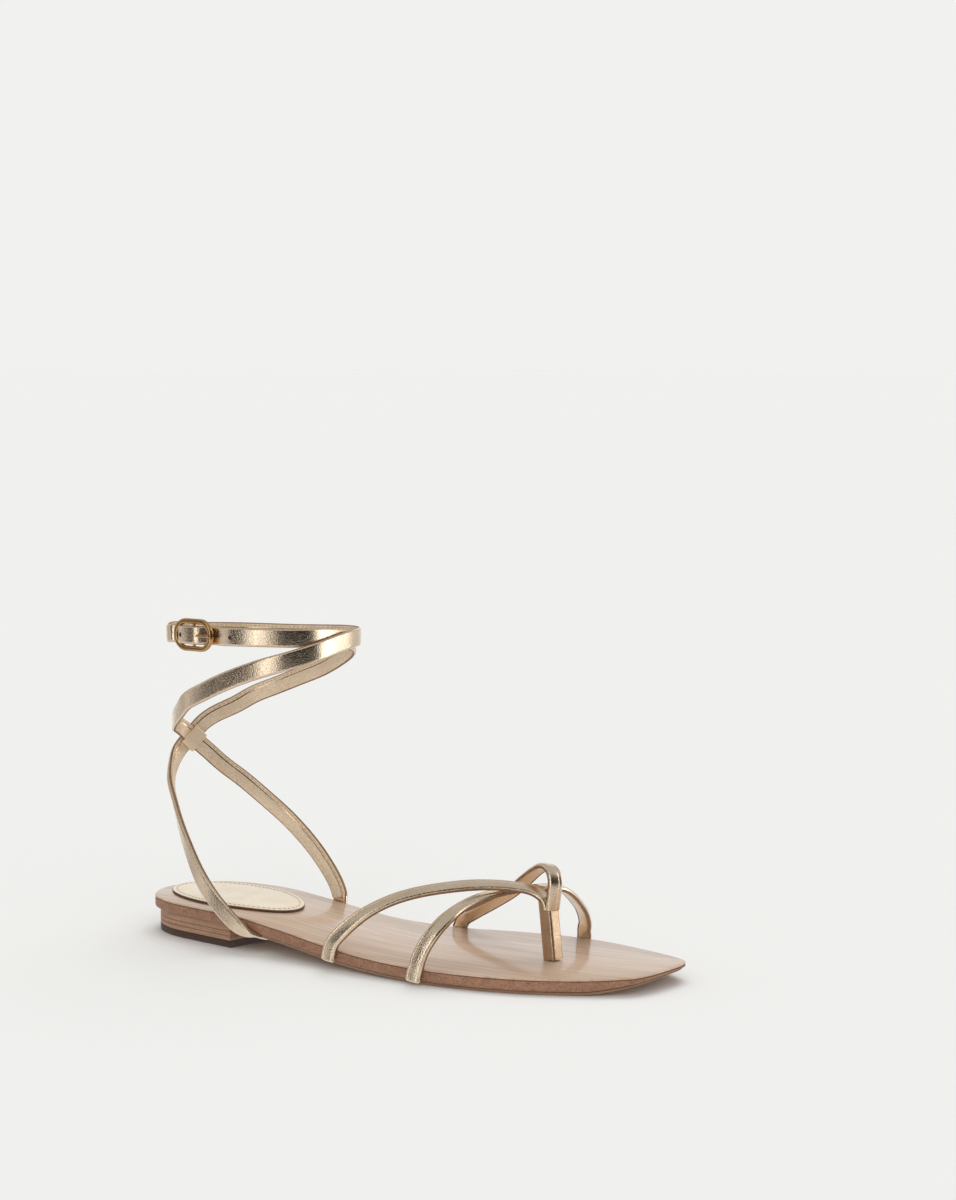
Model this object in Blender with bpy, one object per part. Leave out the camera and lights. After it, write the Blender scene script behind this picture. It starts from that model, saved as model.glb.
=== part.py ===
"""Flat ankle-wrap sandal for the right foot, fastened and empty, standing on its sole.

The work is done in millimetres with the back of the heel at x = 0, the toe toward +X,
the medial side toward +Y and the ground at z = 0. finish() moves the whole sandal so that
the origin is at the bottom centre of its bounding box, and scales it to metres.
"""
import math

import bpy
import numpy as np

MM = 0.001

# Clearance between pieces that lie against each other
SEAT_GAP = 0.25
LANDING_GAP = 0.5

# Sole layers, thicknesses and insets from the outline
FOOTBED_THICK = 0.8
BOARD_THICK = 4.2
OUTSOLE_THICK = 1.3
OUTSOLE_INSET = 1.3
BOARD_BEVEL = 0.5
FOOTBED_BEVEL = 0.3
OUTSOLE_BEVEL = 0.4
SOLE_STACK = FOOTBED_THICK + BOARD_THICK + OUTSOLE_THICK + 2 * SEAT_GAP

# Heel: straight breast, three leather lifts on one rubber top piece
BREAST_LATERAL_X = 56.0
BREAST_MEDIAL_X = 70.0
BREAST_GAP = 0.6
HEEL_INSET = 2.3
TOP_PIECE_THICK = 3.0
LIFT_COUNT = 3
LIFT_GAP = 0.15
LIFT_BEVEL = 0.25

# Plan of the sole edge, from the back of the heel along the lateral side to the toe
# and back along the medial side: x, y
SOLE_EDGE = (
    (-0.6, -0.6), (4.0, -15.3), (16.6, -24.2), (38.0, -29.0), (68.0, -33.8), (103.0, -38.0),
    (131.0, -42.0), (159.0, -44.0), (183.0, -42.4), (203.0, -38.0), (220.0, -31.4),
    (233.5, -24.6), (242.0, -19.2), (246.2, -16.0), (248.7, -11.6), (251.0, -3.6),
    (252.6, 6.0), (253.2, 14.2), (251.3, 19.8), (243.0, 25.8), (228.0, 32.8),
    (208.0, 38.6), (186.0, 40.4), (163.0, 36.4), (136.0, 26.8), (103.0, 20.0),
    (68.0, 22.0), (38.0, 27.0), (16.8, 24.2), (4.6, 14.8),
)
TOE_MID = (251.9, 1.0)

# Height of the footbed's upper face along the sole: x, z
FOOTBED_PROFILE = (
    (-1.0, 16.0), (35.0, 15.9), (60.0, 15.6), (84.0, 13.4), (112.0, 9.8), (135.0, 7.9),
    (156.0, 7.1), (176.0, 6.8), (208.0, 6.8), (230.0, 7.1), (256.0, 8.4),
)

# Heel pad: an ellipse on the footbed, turned with the heel
PAD_CENTRE = (40.6, -2.8)
PAD_HALF_LENGTH = 36.4
PAD_HALF_WIDTH = 20.0
PAD_TURN = math.radians(-9.0)
PAD_THICK = 1.3
PAD_ROUND = 0.5

# Strap sections
FORE_WIDTH = 6.3
FORE_FOOT_WIDTH = 6.9
FORE_NARROWS_OVER = 24.0
FORE_THICK = 2.5
SLING_WIDTH = 7.4
SLING_THICK = 2.3
WRAP_WIDTH = 7.9
WRAP_THICK = 1.7
OUTER_WIDENS = (92.0, 114.0)
INNER_WIDENS = (84.0, 98.0)
SLING_THICKENS = (76.0, 66.0)
LATERAL_THINS = (30.0, 20.0)
POST_SIDE = 6.2
POST_TURN = math.radians(-10.0)
POST_SHARPNESS = 5.0

# Forefoot straps, in order from the sole edge: centre x, y, z and the outward direction
REAR_LATERAL_STRAP = (
    (118.4, -42.0, 13.0, 0.0, -1.0, 0.2), (123.0, -41.3, 17.9, 0.0, -0.9, 0.4),
    (128.0, -39.6, 22.5, -0.1, -0.8, 0.5), (133.6, -36.7, 26.8, -0.2, -0.7, 0.7),
    (141.8, -32.0, 31.3, -0.2, -0.6, 0.8), (151.8, -26.0, 34.6, -0.1, -0.5, 0.9),
    (167.4, -16.4, 37.1, 0.0, -0.4, 0.9), (177.4, -11.2, 37.5, 0.0, -0.3, 0.9),
    (186.6, -6.6, 36.8, 0.1, -0.2, 0.9), (193.6, -3.8, 35.3, 0.4, -0.2, 0.9),
    (198.2, -2.8, 31.8, 0.9, 0.0, 0.4), (199.4, -2.4, 27.5, 1.0, 0.0, 0.0),
)
FRONT_STRAP = (
    (162.4, -45.5, 11.0, 0.0, -1.0, 0.1), (164.6, -44.6, 16.4, 0.0, -1.0, 0.2),
    (168.2, -42.0, 22.8, 0.0, -0.9, 0.4), (170.8, -36.8, 27.5, 0.0, -0.75, 0.6),
    (172.4, -27.5, 30.7, -0.1, -0.6, 0.8), (174.9, -17.5, 32.8, -0.1, -0.4, 0.9),
    (178.5, -9.4, 33.9, -0.1, -0.2, 1.0), (183.6, -4.0, 34.8, 0.0, 0.0, 1.0),
    (189.7, -0.6, 35.5, 0.1, 0.1, 1.0), (194.6, 3.8, 35.4, 0.2, 0.1, 1.0),
    (196.7, 10.8, 34.4, 0.2, 0.3, 1.0), (197.2, 18.4, 30.8, 0.2, 0.6, 0.8),
    (196.4, 27.4, 25.0, 0.2, 0.75, 0.6), (195.2, 34.6, 19.6, 0.2, 0.9, 0.4),
    (193.6, 39.9, 13.4, 0.2, 1.0, 0.2), (192.2, 41.6, 10.0, 0.1, 1.0, 0.1),
)
REAR_MEDIAL_STRAP = (
    (140.0, 28.2, 11.8, 0.0, 1.0, 0.3), (146.6, 25.0, 15.6, -0.3, 0.8, 0.5),
    (158.6, 20.4, 22.0, -0.4, 0.7, 0.6), (171.6, 14.4, 29.4, -0.5, 0.6, 0.5),
    (182.0, 8.2, 36.8, -0.55, 0.65, 0.4), (190.4, 3.0, 42.6, -0.5, 0.5, 0.6),
    (196.6, -0.4, 45.5, 0.0, 0.2, 1.0), (201.4, -2.8, 44.4, 0.8, -0.3, 0.6),
    (203.2, -3.8, 40.4, 1.0, -0.6, 0.1), (202.6, -3.6, 34.5, 1.0, -0.6, 0.0),
    (201.4, -3.0, 27.5, 1.0, -0.5, 0.0),
)
REAR_LATERAL_FOOT_X = 115.4
FRONT_LATERAL_FOOT_X = 160.1
REAR_MEDIAL_FOOT_X = 136.2
FRONT_MEDIAL_FOOT_X = 191.6
STRAP_TUCK = 0.3
LANDING_RISE = 1.2
FORE_LEAN = 1.6
FRONT_MEDIAL_LEAN = 0.4
LEG_LEAN = -0.3
POST_GAP = 0.45
POST_FOOT = (201.3, -2.1)
POST_HEAD = (198.6, -2.2, 33.4)

# Ankle wrap: a rounded ring that is a little larger at the top than at the keeper
RING_LOW = {"z": 90.0, "x": 56.0, "y": -1.5, "half_length": 37.5, "half_width": 29.5}
RING_TOP = {"z": 125.0, "x": 53.9, "y": -2.0, "half_length": 40.7, "half_width": 31.0}
RING_POWER = 3.2
LAYER_STEP = 1.1

# Run of the outer wrap from the buckle round the back, the medial side and the front,
# then down the lateral side, and of the inner wrap from the buckle round the front and
# down the medial side: angle, z, layer; angle 0 is the front and -90 the lateral side
OUTER_WRAP = (
    (-139.0, 135.6, 0.0), (-166.0, 134.8, 0.0), (-185.0, 133.4, 0.0), (-200.0, 132.4, 0.0),
    (-220.0, 131.7, 0.0), (-234.0, 131.6, 0.0), (-268.0, 132.0, 0.0), (-296.0, 132.7, 0.3),
    (-311.0, 133.2, 0.8), (-330.0, 133.7, 1.0), (-347.0, 133.7, 1.0), (-358.0, 133.0, 1.0),
    (-370.0, 131.9, 1.0), (-382.0, 130.3, 1.0), (-396.0, 127.5, 0.8), (-412.0, 124.1, 0.3),
    (-432.0, 119.8, 0.0), (-452.0, 115.6, 0.0), (-472.0, 110.7, 0.0), (-486.0, 106.7, 0.0),
)
INNER_WRAP = (
    (-76.0, 136.4, 0.0), (-56.0, 136.7, -0.3), (-36.0, 136.5, -0.8), (-22.0, 136.2, -1.0),
    (-10.0, 135.7, -1.0), (4.0, 134.6, -1.0), (16.0, 132.9, -1.0), (28.0, 130.4, -1.0),
    (41.0, 127.0, -0.8), (52.0, 123.3, -0.3), (70.0, 117.5, 0.0), (93.0, 112.6, 0.0),
    (115.0, 107.8, 0.0), (133.0, 103.2, 0.0),
)

# Sling legs below the wraps, from the back of the ankle down to the sole edge: x, y, z and
# the direction that the outer face looks in, 90 medial, 180 backward and 270 lateral
OUTER_TO_MEDIAL_LEG = (
    (28.8, -27.4, 102.6, 237.0), (21.6, -22.2, 97.6, 228.0), (15.6, -15.4, 94.0, 213.0),
    (10.3, -6.2, 91.7, 190.0), (9.3, -1.6, 89.8, 170.0), (10.0, 1.8, 87.4, 150.0),
    (11.7, 4.0, 84.5, 143.0), (13.4, 6.4, 81.6, 143.0), (15.4, 9.0, 78.9, 142.0),
    (18.0, 11.6, 75.2, 141.0), (21.9, 15.4, 70.4, 138.0), (26.1, 20.0, 65.6, 132.0),
    (35.5, 24.5, 57.0, 122.0), (47.0, 28.4, 46.8, 110.0), (59.8, 27.5, 36.8, 102.0),
    (69.6, 25.6, 27.8, 97.0), (75.6, 23.8, 21.2, 94.0), (78.4, 22.6, 16.4, 92.0),
)
INNER_TO_LATERAL_LEG = (
    (22.7, 20.9, 98.4, 137.0), (16.6, 14.8, 94.9, 141.0), (13.0, 8.4, 90.9, 144.0),
    (10.3, 4.6, 85.7, 143.0), (8.0, 1.6, 82.0, 145.0), (6.9, -1.2, 79.0, 158.0),
    (7.8, -5.0, 75.8, 180.0), (9.9, -9.6, 72.5, 190.0), (12.4, -13.8, 69.2, 197.0),
    (14.8, -16.9, 66.0, 201.0), (20.2, -21.0, 59.3, 209.0), (26.1, -25.0, 50.8, 220.0),
    (33.7, -28.8, 40.4, 235.0), (40.6, -31.5, 31.4, 248.0), (47.6, -33.2, 24.0, 262.0),
    (54.4, -34.1, 18.0, 270.0), (60.4, -35.0, 13.8, 272.0),
)
MEDIAL_LEG_FOOT_X = 78.8

# End of the lateral leg, turning under the edge of the board in front of the heel
LATERAL_TUCK = (
    (65.4, -35.4, 10.9, 0.0, -0.93, -0.36), (69.6, -34.1, 8.6, 0.0, -0.55, -0.84),
    (73.8, -30.6, 7.5, 0.0, -0.05, -1.0), (78.0, -27.0, 7.2, 0.0, 0.0, -1.0),
)
TUCK_MARGIN = 0.6
TUCK_BELOW_Z = 20.0
TUCK_ROWS = 10

# Keeper over the inside of the crossing
KEEPER_AT = (11.7, 4.0, 84.5)
KEEPER_LENGTH = 6.8
KEEPER_WALL = 0.9
KEEPER_LIP = 0.0
KEEPER_GAP = 0.4
KEEPER_BEVEL = 0.3

# Buckle on the top wrap, near the back of the lateral side
BUCKLE_ANGLE = -114.0
BUCKLE_Z = 136.1
BUCKLE_LENGTH = 21.5
BUCKLE_HEIGHT = 14.2
BUCKLE_CORNER = 3.0
BUCKLE_ROUND = 0.9
BUCKLE_BAR = 1.8
BUCKLE_DEPTH = 2.4
CENTRE_BAR = 1.5
CENTRE_DROP = 0.5
BAR_GAP = 0.4
PRONG_BAR = 1.1
HOLE_DIAMETER = 1.9
HOLE_PITCH = 8.6
PRONG_HOLE = 3.0
TAIL_END = -7.6
FOLD_END = 1.5
FOLD_MIDDLE = -3.0
PRONG_PIVOT_OUT = -0.8
PRONG_ARCH = 2.3
# How far a hole goes outward from the buckle plane, and inward for the tail alone, for the
# tail where it leaves the buckle and for all layers
PUNCH_OUT = 4.0
PUNCH_IN = (-0.4, -0.4, -4.0, -4.0)

# Mesh fineness
FORE_STEP = 3.0
WRAP_STEP = 3.6
BUCKLE_STEP = 1.5
BUCKLE_RUN = 24.0
TUCK_STEP = 1.8
SOLE_STATIONS = 44
HEEL_STATIONS = 20
CROWDING = 0.55
END_GAP = 1.2
PAD_STATIONS = 22
BAR_SIDES = 8
PRONG_STEP = 0.8
POST_STEP = 7.0
POST_POINTS = 12
HOLE_POINTS = 12
KEEPER_ROWS = 7

# Colour, roughness and metallic value of every material
MATERIALS = {
    "gold_leather": ((0.68, 0.55, 0.38), 0.34, 0.75),
    "footbed_leather": ((0.62, 0.49, 0.41), 0.32, 0.0),
    "board_leather": ((0.30, 0.17, 0.11), 0.55, 0.0),
    "outsole_leather": ((0.42, 0.27, 0.17), 0.6, 0.0),
    "heel_leather": ((0.38, 0.25, 0.17), 0.6, 0.0),
    "heel_rubber": ((0.10, 0.055, 0.035), 0.7, 0.0),
    "pad_leather": ((0.80, 0.66, 0.45), 0.4, 0.3),
    "brass": ((0.62, 0.42, 0.20), 0.28, 1.0),
}

made = []


def clear_scene():
    for obj in list(bpy.data.objects):
        bpy.data.objects.remove(obj, do_unlink=True)


def material(name):
    found = bpy.data.materials.get(name)
    if found:
        return found
    colour, roughness, metallic = MATERIALS[name]
    new = bpy.data.materials.new(name)
    new.use_nodes = True
    shader = new.node_tree.nodes["Principled BSDF"]
    shader.inputs["Base Color"].default_value = (*colour, 1.0)
    shader.inputs["Roughness"].default_value = roughness
    shader.inputs["Metallic"].default_value = metallic
    new.diffuse_color = (*colour, 1.0)
    return new


def add_object(name, points, faces, material_name):
    """Mesh object with outward faces; points are in millimetres."""
    points = np.asarray(points, dtype=float)
    corners = []
    for face in faces:
        for k in range(1, len(face) - 1):
            corners.append((face[0], face[k], face[k + 1]))
    corners = np.array(corners)
    a, b, c = points[corners[:, 0]], points[corners[:, 1]], points[corners[:, 2]]
    volume = float(np.einsum("ij,ij->i", a, np.cross(b, c)).sum())
    if volume < 0:
        faces = [tuple(reversed(face)) for face in faces]
    mesh = bpy.data.meshes.new(name)
    mesh.from_pydata((points * MM).tolist(), [], faces)
    mesh.update()
    obj = bpy.data.objects.new(name, mesh)
    bpy.context.scene.collection.objects.link(obj)
    mesh.materials.append(material(material_name))
    return obj


def apply_boolean(target, cutters, operation):
    for cutter in cutters:
        cutter.hide_render = True
        cutter.display_type = "WIRE"
        modifier = target.modifiers.new("boolean", "BOOLEAN")
        modifier.operation = operation
        modifier.solver = "EXACT"
        modifier.object = cutter
        depsgraph = bpy.context.evaluated_depsgraph_get()
        result = bpy.data.meshes.new_from_object(target.evaluated_get(depsgraph))
        target.modifiers.clear()
        old = target.data
        target.data = result
        bpy.data.meshes.remove(old)
        bpy.data.objects.remove(cutter, do_unlink=True)
    return target


# Curves

def spline(rows, closed=False, samples=14):
    """Centripetal Catmull-Rom curve through rows, as a dense polyline of all the columns."""
    rows = np.asarray(rows, dtype=float)
    if closed:
        rows = np.vstack([rows[-1], rows, rows[0], rows[1]])
    else:
        rows = np.vstack([2 * rows[0] - rows[1], rows, 2 * rows[-1] - rows[-2]])
    out = []
    for i in range(1, len(rows) - 2):
        p0, p1, p2, p3 = rows[i - 1:i + 3]
        knots = [0.0]
        for q0, q1 in ((p0, p1), (p1, p2), (p2, p3)):
            knots.append(knots[-1] + max(np.linalg.norm((q1 - q0)[:3]), 1e-6) ** 0.5)
        t0, t1, t2, t3 = knots
        for t in np.linspace(t1, t2, samples, endpoint=False):
            a1 = (t1 - t) / (t1 - t0) * p0 + (t - t0) / (t1 - t0) * p1
            a2 = (t2 - t) / (t2 - t1) * p1 + (t - t1) / (t2 - t1) * p2
            a3 = (t3 - t) / (t3 - t2) * p2 + (t - t2) / (t3 - t2) * p3
            b1 = (t2 - t) / (t2 - t0) * a1 + (t - t0) / (t2 - t0) * a2
            b2 = (t3 - t) / (t3 - t1) * a2 + (t - t1) / (t3 - t1) * a3
            out.append((t2 - t) / (t2 - t1) * b1 + (t - t1) / (t2 - t1) * b2)
    out.append(rows[-2] if not closed else out[0])
    return np.array(out)


def arc_length(rows):
    steps = np.linalg.norm(np.diff(rows[:, :3], axis=0), axis=1)
    return np.concatenate([[0.0], np.cumsum(steps)])


def at_lengths(rows, lengths):
    run = arc_length(rows)
    return np.column_stack([np.interp(lengths, run, rows[:, k]) for k in range(rows.shape[1])])


def resample(rows, step, fine_run=0.0):
    """Rows at even steps, with steps of BUCKLE_STEP over the first fine_run."""
    total = arc_length(rows)[-1]
    fine = np.arange(0.0, fine_run, BUCKLE_STEP)
    count = max(2, int(round((total - fine_run) / step)) + 1)
    return at_lengths(rows, np.concatenate([fine, np.linspace(fine_run, total, count)]))


# Sole

EDGE = spline(SOLE_EDGE, closed=True)
PROFILE = spline(FOOTBED_PROFILE)


def footbed_z(x):
    """Height of the footbed, never below the layers that lie flat on the ground."""
    return max(SOLE_STACK, float(np.interp(x, PROFILE[:, 0], PROFILE[:, 1])))


def edge_inset(inset):
    """Sole edge moved inward by inset."""
    nxt = np.roll(EDGE[:-1], -1, axis=0)
    prv = np.roll(EDGE[:-1], 1, axis=0)
    along = nxt - prv
    inward = np.column_stack([-along[:, 1], along[:, 0]])
    inward /= np.linalg.norm(inward, axis=1)[:, None]
    moved = EDGE[:-1] + inward * inset
    return np.vstack([moved, moved[:1]])


def edge_point(side, x, inset=0.0):
    """Point of the sole edge at x on one side, 'lateral' or 'medial'."""
    lateral, medial = sole_halves(inset)
    half = lateral if side == "lateral" else medial
    k = int(np.argmax(half[:, 0] >= x))
    p, q = half[k - 1], half[k]
    return p + (q - p) * (x - p[0]) / (q[0] - p[0])


def sole_halves(inset):
    """Lateral and medial halves of the edge, both from the heel to the toe."""
    loop = edge_inset(inset)
    toe = int(np.argmin(np.linalg.norm(loop - np.array(TOE_MID), axis=1)))
    return loop[:toe + 1], loop[toe:][::-1]


def clip(half, x_from, x_to):
    """Part of a half between two x values, with exact ends."""
    def cross(x):
        k = int(np.argmax(half[:, 0] >= x))
        p, q = half[k - 1], half[k]
        return k, p + (q - p) * (x - p[0]) / (q[0] - p[0])
    if x_from is not None:
        k, start = cross(x_from)
        half = np.vstack([start, half[k:]])
    if x_to is not None:
        k, end = cross(x_to)
        half = np.vstack([half[:k], end])
    return half


def ends_dense(count):
    """Values from 0 to 1 that crowd toward both ends."""
    u = np.linspace(0.0, 1.0, count)
    return (1.0 - CROWDING) * u + CROWDING * (0.5 - 0.5 * np.cos(math.pi * u))


def sole_ring(inset, x_from=(None, None), x_to=(None, None), count=SOLE_STATIONS):
    """Lateral and medial stations of one layer, joined across in pairs.

    x_from and x_to hold one limit for the lateral half and one for the medial half.
    """
    pair = []
    for half, first, last in zip(sole_halves(inset), x_from, x_to):
        half = clip(half, first, last)
        run = arc_length(half)[-1]
        start = END_GAP if first is None else 0.0
        end = END_GAP if last is None else 0.0
        lengths = start + ends_dense(count) * (run - start - end)
        pair.append(at_lengths(half, lengths))
    return pair


def pad_ring(inset):
    turn = np.linspace(0.02, 0.98, PAD_STATIONS) * math.pi
    u = -(PAD_HALF_LENGTH - inset) * np.cos(turn)
    v = (PAD_HALF_WIDTH - inset) * np.sin(turn)
    c, s = math.cos(PAD_TURN), math.sin(PAD_TURN)
    lateral = np.column_stack([PAD_CENTRE[0] + u * c + v * s, PAD_CENTRE[1] + u * s - v * c])
    medial = np.column_stack([PAD_CENTRE[0] + u * c - v * s, PAD_CENTRE[1] + u * s + v * c])
    return lateral, medial


def slab(name, rows, material_name):
    """Solid from rows of (ring, height function), bottom row first."""
    points = []
    faces = []
    count = len(rows[0][0][0])
    size = 2 * count
    for (lateral, medial), height in rows:
        for x, y in np.vstack([lateral, medial[::-1]]):
            points.append((x, y, height(x)))
    for r in range(len(rows) - 1):
        for i in range(size):
            j = (i + 1) % size
            faces.append((r * size + i, r * size + j, (r + 1) * size + j, (r + 1) * size + i))
    top = (len(rows) - 1) * size
    for i in range(count - 1):
        j = size - 1 - i
        faces.append((i, j, j - 1, i + 1))
        faces.append((top + i, top + i + 1, top + j - 1, top + j))
    obj = add_object(name, points, faces, material_name)
    made.append(obj)
    return obj


def footbed_under(x):
    return footbed_z(x) - FOOTBED_THICK


def board_top(x):
    return footbed_under(x) - SEAT_GAP


def board_under(x):
    return board_top(x) - BOARD_THICK


def outsole_top(x):
    return board_under(x) - SEAT_GAP


def outsole_under(x):
    return outsole_top(x) - OUTSOLE_THICK


def raised(height, by):
    return lambda x: height(x) + by


def build_sole():
    slab("footbed", (
        (sole_ring(0.0), footbed_under),
        (sole_ring(0.0), raised(footbed_z, -FOOTBED_BEVEL)),
        (sole_ring(FOOTBED_BEVEL), footbed_z),
    ), "footbed_leather")
    slab("midsole_board", (
        (sole_ring(BOARD_BEVEL), board_under),
        (sole_ring(0.0), raised(board_under, BOARD_BEVEL)),
        (sole_ring(0.0), board_top),
    ), "board_leather")
    start = (BREAST_LATERAL_X + BREAST_GAP, BREAST_MEDIAL_X + BREAST_GAP)
    slab("outsole", (
        (sole_ring(OUTSOLE_INSET + OUTSOLE_BEVEL, start), outsole_under),
        (sole_ring(OUTSOLE_INSET, start), raised(outsole_under, OUTSOLE_BEVEL)),
        (sole_ring(OUTSOLE_INSET, start), outsole_top),
    ), "outsole_leather")


def build_heel():
    def ring(inset):
        breast = (BREAST_LATERAL_X, BREAST_MEDIAL_X)
        return sole_ring(HEEL_INSET + inset, x_to=breast, count=HEEL_STATIONS)
    slab("heel_top_piece", (
        (ring(LIFT_BEVEL), lambda x: 0.0),
        (ring(0.0), lambda x: LIFT_BEVEL),
        (ring(0.0), lambda x: TOP_PIECE_THICK),
    ), "heel_rubber")
    room = board_under(BREAST_MEDIAL_X) - SEAT_GAP - TOP_PIECE_THICK - LIFT_GAP
    pitch = room / LIFT_COUNT
    for k in range(LIFT_COUNT):
        low = TOP_PIECE_THICK + LIFT_GAP + k * pitch
        high = low + pitch - LIFT_GAP
        if k < LIFT_COUNT - 1:
            top = raised(lambda x: 0.0, high)
            shoulder = raised(lambda x: 0.0, high - LIFT_BEVEL)
        else:
            top = raised(board_under, -SEAT_GAP)
            shoulder = raised(board_under, -SEAT_GAP - LIFT_BEVEL)
        slab("heel_lift_%d" % (k + 1), (
            (ring(LIFT_BEVEL), raised(lambda x: 0.0, low)),
            (ring(0.0), raised(lambda x: 0.0, low + LIFT_BEVEL)),
            (ring(0.0), shoulder),
            (ring(LIFT_BEVEL), top),
        ), "heel_leather")


def build_pad():
    seat = raised(footbed_z, SEAT_GAP)
    slab("heel_pad", (
        (pad_ring(PAD_ROUND), seat),
        (pad_ring(0.0), raised(seat, PAD_ROUND)),
        (pad_ring(0.0), raised(seat, PAD_THICK - PAD_ROUND)),
        (pad_ring(PAD_ROUND), raised(seat, PAD_THICK - 0.1)),
        (pad_ring(3 * PAD_ROUND), raised(seat, PAD_THICK)),
    ), "pad_leather")


# Straps

# Crowned strap section: across the width and through the thickness, both in -0.5 .. 0.5
CROWNED = (
    (-0.5, -0.22), (-0.42, -0.5), (0.42, -0.5), (0.5, -0.22), (0.48, 0.12),
    (0.36, 0.4), (0.0, 0.5), (-0.36, 0.4), (-0.48, 0.12),
)
# Flat strap section with eased corners
FLAT = (
    (-0.5, -0.25), (-0.45, -0.5), (0.45, -0.5), (0.5, -0.25),
    (0.5, 0.25), (0.45, 0.5), (-0.45, 0.5), (-0.5, 0.25),
)


def round_section(sides):
    turn = [2 * math.pi * k / sides for k in range(sides)]
    return tuple((0.5 * math.cos(t), 0.5 * math.sin(t)) for t in turn)


def square_section(side_points, power):
    turn = [2 * math.pi * (k + 0.5) / side_points for k in range(side_points)]
    out = []
    for t in turn:
        c, s = math.cos(t), math.sin(t)
        r = (abs(c) ** power + abs(s) ** power) ** (-1.0 / power)
        out.append((0.5 * r * c, 0.5 * r * s))
    return tuple(out)


def sweep(name, rows, section, width, thick, material_name, closed=False):
    """Solid along rows of (x, y, z, face_x, face_y, face_z); width may be one per row."""
    rows = np.asarray(rows, dtype=float)
    centre = rows[:, :3]
    if closed:
        along = np.roll(centre, -1, axis=0) - np.roll(centre, 1, axis=0)
    else:
        along = np.gradient(centre, axis=0)
    along /= np.linalg.norm(along, axis=1)[:, None]
    face = rows[:, 3:6]
    face = face - along * np.einsum("ij,ij->i", face, along)[:, None]
    face /= np.linalg.norm(face, axis=1)[:, None]
    across = np.cross(along, face)
    widths = np.broadcast_to(width, (len(rows),))
    thicks = np.broadcast_to(thick, (len(rows),))
    points = []
    for k in range(len(rows)):
        for u, v in section:
            points.append(centre[k] + across[k] * (u * widths[k]) + face[k] * (v * thicks[k]))
    size = len(section)
    faces = []
    steps = len(rows) if closed else len(rows) - 1
    for k in range(steps):
        n = (k + 1) % len(rows)
        for i in range(size):
            j = (i + 1) % size
            faces.append((k * size + i, k * size + j, n * size + j, n * size + i))
    if not closed:
        last = (len(rows) - 1) * size
        faces.append(tuple(reversed(range(size))))
        faces.append(tuple(last + i for i in range(size)))
    return add_object(name, points, faces, material_name)


def landing(side, x, thick, lean):
    """Rows of a strap end that runs up outside the sole edge, from its underside."""
    sign = -1.0 if side == "lateral" else 1.0
    low = board_under(x) - STRAP_TUCK
    high = footbed_z(x) + LANDING_RISE
    rows = []
    for share in (0.0, 0.5, 1.0):
        at_x = x + lean * share ** 2
        before, after = edge_point(side, at_x - 2.0), edge_point(side, at_x + 2.0)
        face_x = -sign * (after - before)[1] / (after - before)[0]
        y = edge_point(side, at_x)[1] + sign * (LANDING_GAP + 0.5 * thick)
        rows.append((at_x, y, low + share * (high - low), face_x, sign, 0.0))
    return rows


def fore_strap(name, table, foot_width, starts, ends=()):
    """Strap that narrows from foot_width at its first end to its usual width."""
    rows = resample(spline([*starts, *table, *ends]), FORE_STEP)
    t = np.clip(arc_length(rows) / FORE_NARROWS_OVER, 0.0, 1.0)
    widths = foot_width + (FORE_WIDTH - foot_width) * t
    return sweep(name, rows, CROWNED, widths, FORE_THICK, "gold_leather")


def build_forefoot():
    rear_lateral = fore_strap("rear_lateral", REAR_LATERAL_STRAP, FORE_FOOT_WIDTH,
                              landing("lateral", REAR_LATERAL_FOOT_X, FORE_THICK, FORE_LEAN))
    front = fore_strap("forefoot_straps", FRONT_STRAP, FORE_FOOT_WIDTH,
                       landing("lateral", FRONT_LATERAL_FOOT_X, FORE_THICK, FORE_LEAN),
                       landing("medial", FRONT_MEDIAL_FOOT_X, FORE_THICK,
                               FRONT_MEDIAL_LEAN)[::-1])
    rear_medial = fore_strap("rear_medial", REAR_MEDIAL_STRAP, FORE_WIDTH,
                             landing("medial", REAR_MEDIAL_FOOT_X, FORE_THICK, FORE_LEAN))
    x, y = POST_FOOT
    facing = (math.cos(POST_TURN), math.sin(POST_TURN), 0.0)
    rows = np.array([(x, y, footbed_z(x) + POST_GAP, *facing), (*POST_HEAD, *facing)])
    post = sweep("post", resample(rows, POST_STEP), square_section(POST_POINTS, POST_SHARPNESS),
                 POST_SIDE, POST_SIDE, "gold_leather")
    made.append(apply_boolean(front, [post, rear_lateral, rear_medial], "UNION"))


def ring_row(angle, z, layer=0.0):
    """Point of the ankle ring with its outward direction."""
    t = (z - RING_LOW["z"]) / (RING_TOP["z"] - RING_LOW["z"])
    t = min(max(t, 0.0), 1.0)
    x0, y0, long, wide = [
        RING_LOW[k] + t * (RING_TOP[k] - RING_LOW[k])
        for k in ("x", "y", "half_length", "half_width")
    ]
    c, s = math.cos(math.radians(angle)), math.sin(math.radians(angle))
    r = (abs(c / long) ** RING_POWER + abs(s / wide) ** RING_POWER) ** (-1.0 / RING_POWER)
    nx = math.copysign(abs(r * c / long) ** (RING_POWER - 1.0) / long, c)
    ny = math.copysign(abs(r * s / wide) ** (RING_POWER - 1.0) / wide, s)
    size = math.hypot(nx, ny)
    nx, ny = nx / size, ny / size
    shift = layer * LAYER_STEP
    return (x0 + r * c + nx * shift, y0 + r * s + ny * shift, z, nx, ny, 0.0)


def leg_row(x, y, z, facing):
    """Point of a sling leg with its outward direction."""
    facing = math.radians(facing)
    return (x, y, z, math.cos(facing), math.sin(facing), 0.0)


def buckle_row(along, out, up=0.0):
    """Point given along the strap toward the front, outward and upward from the buckle."""
    x, y, z, nx, ny, _ = ring_row(BUCKLE_ANGLE, BUCKLE_Z)
    return (x - ny * along + nx * out, y + nx * along + ny * out, z + up, nx, ny, 0.0)


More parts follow.
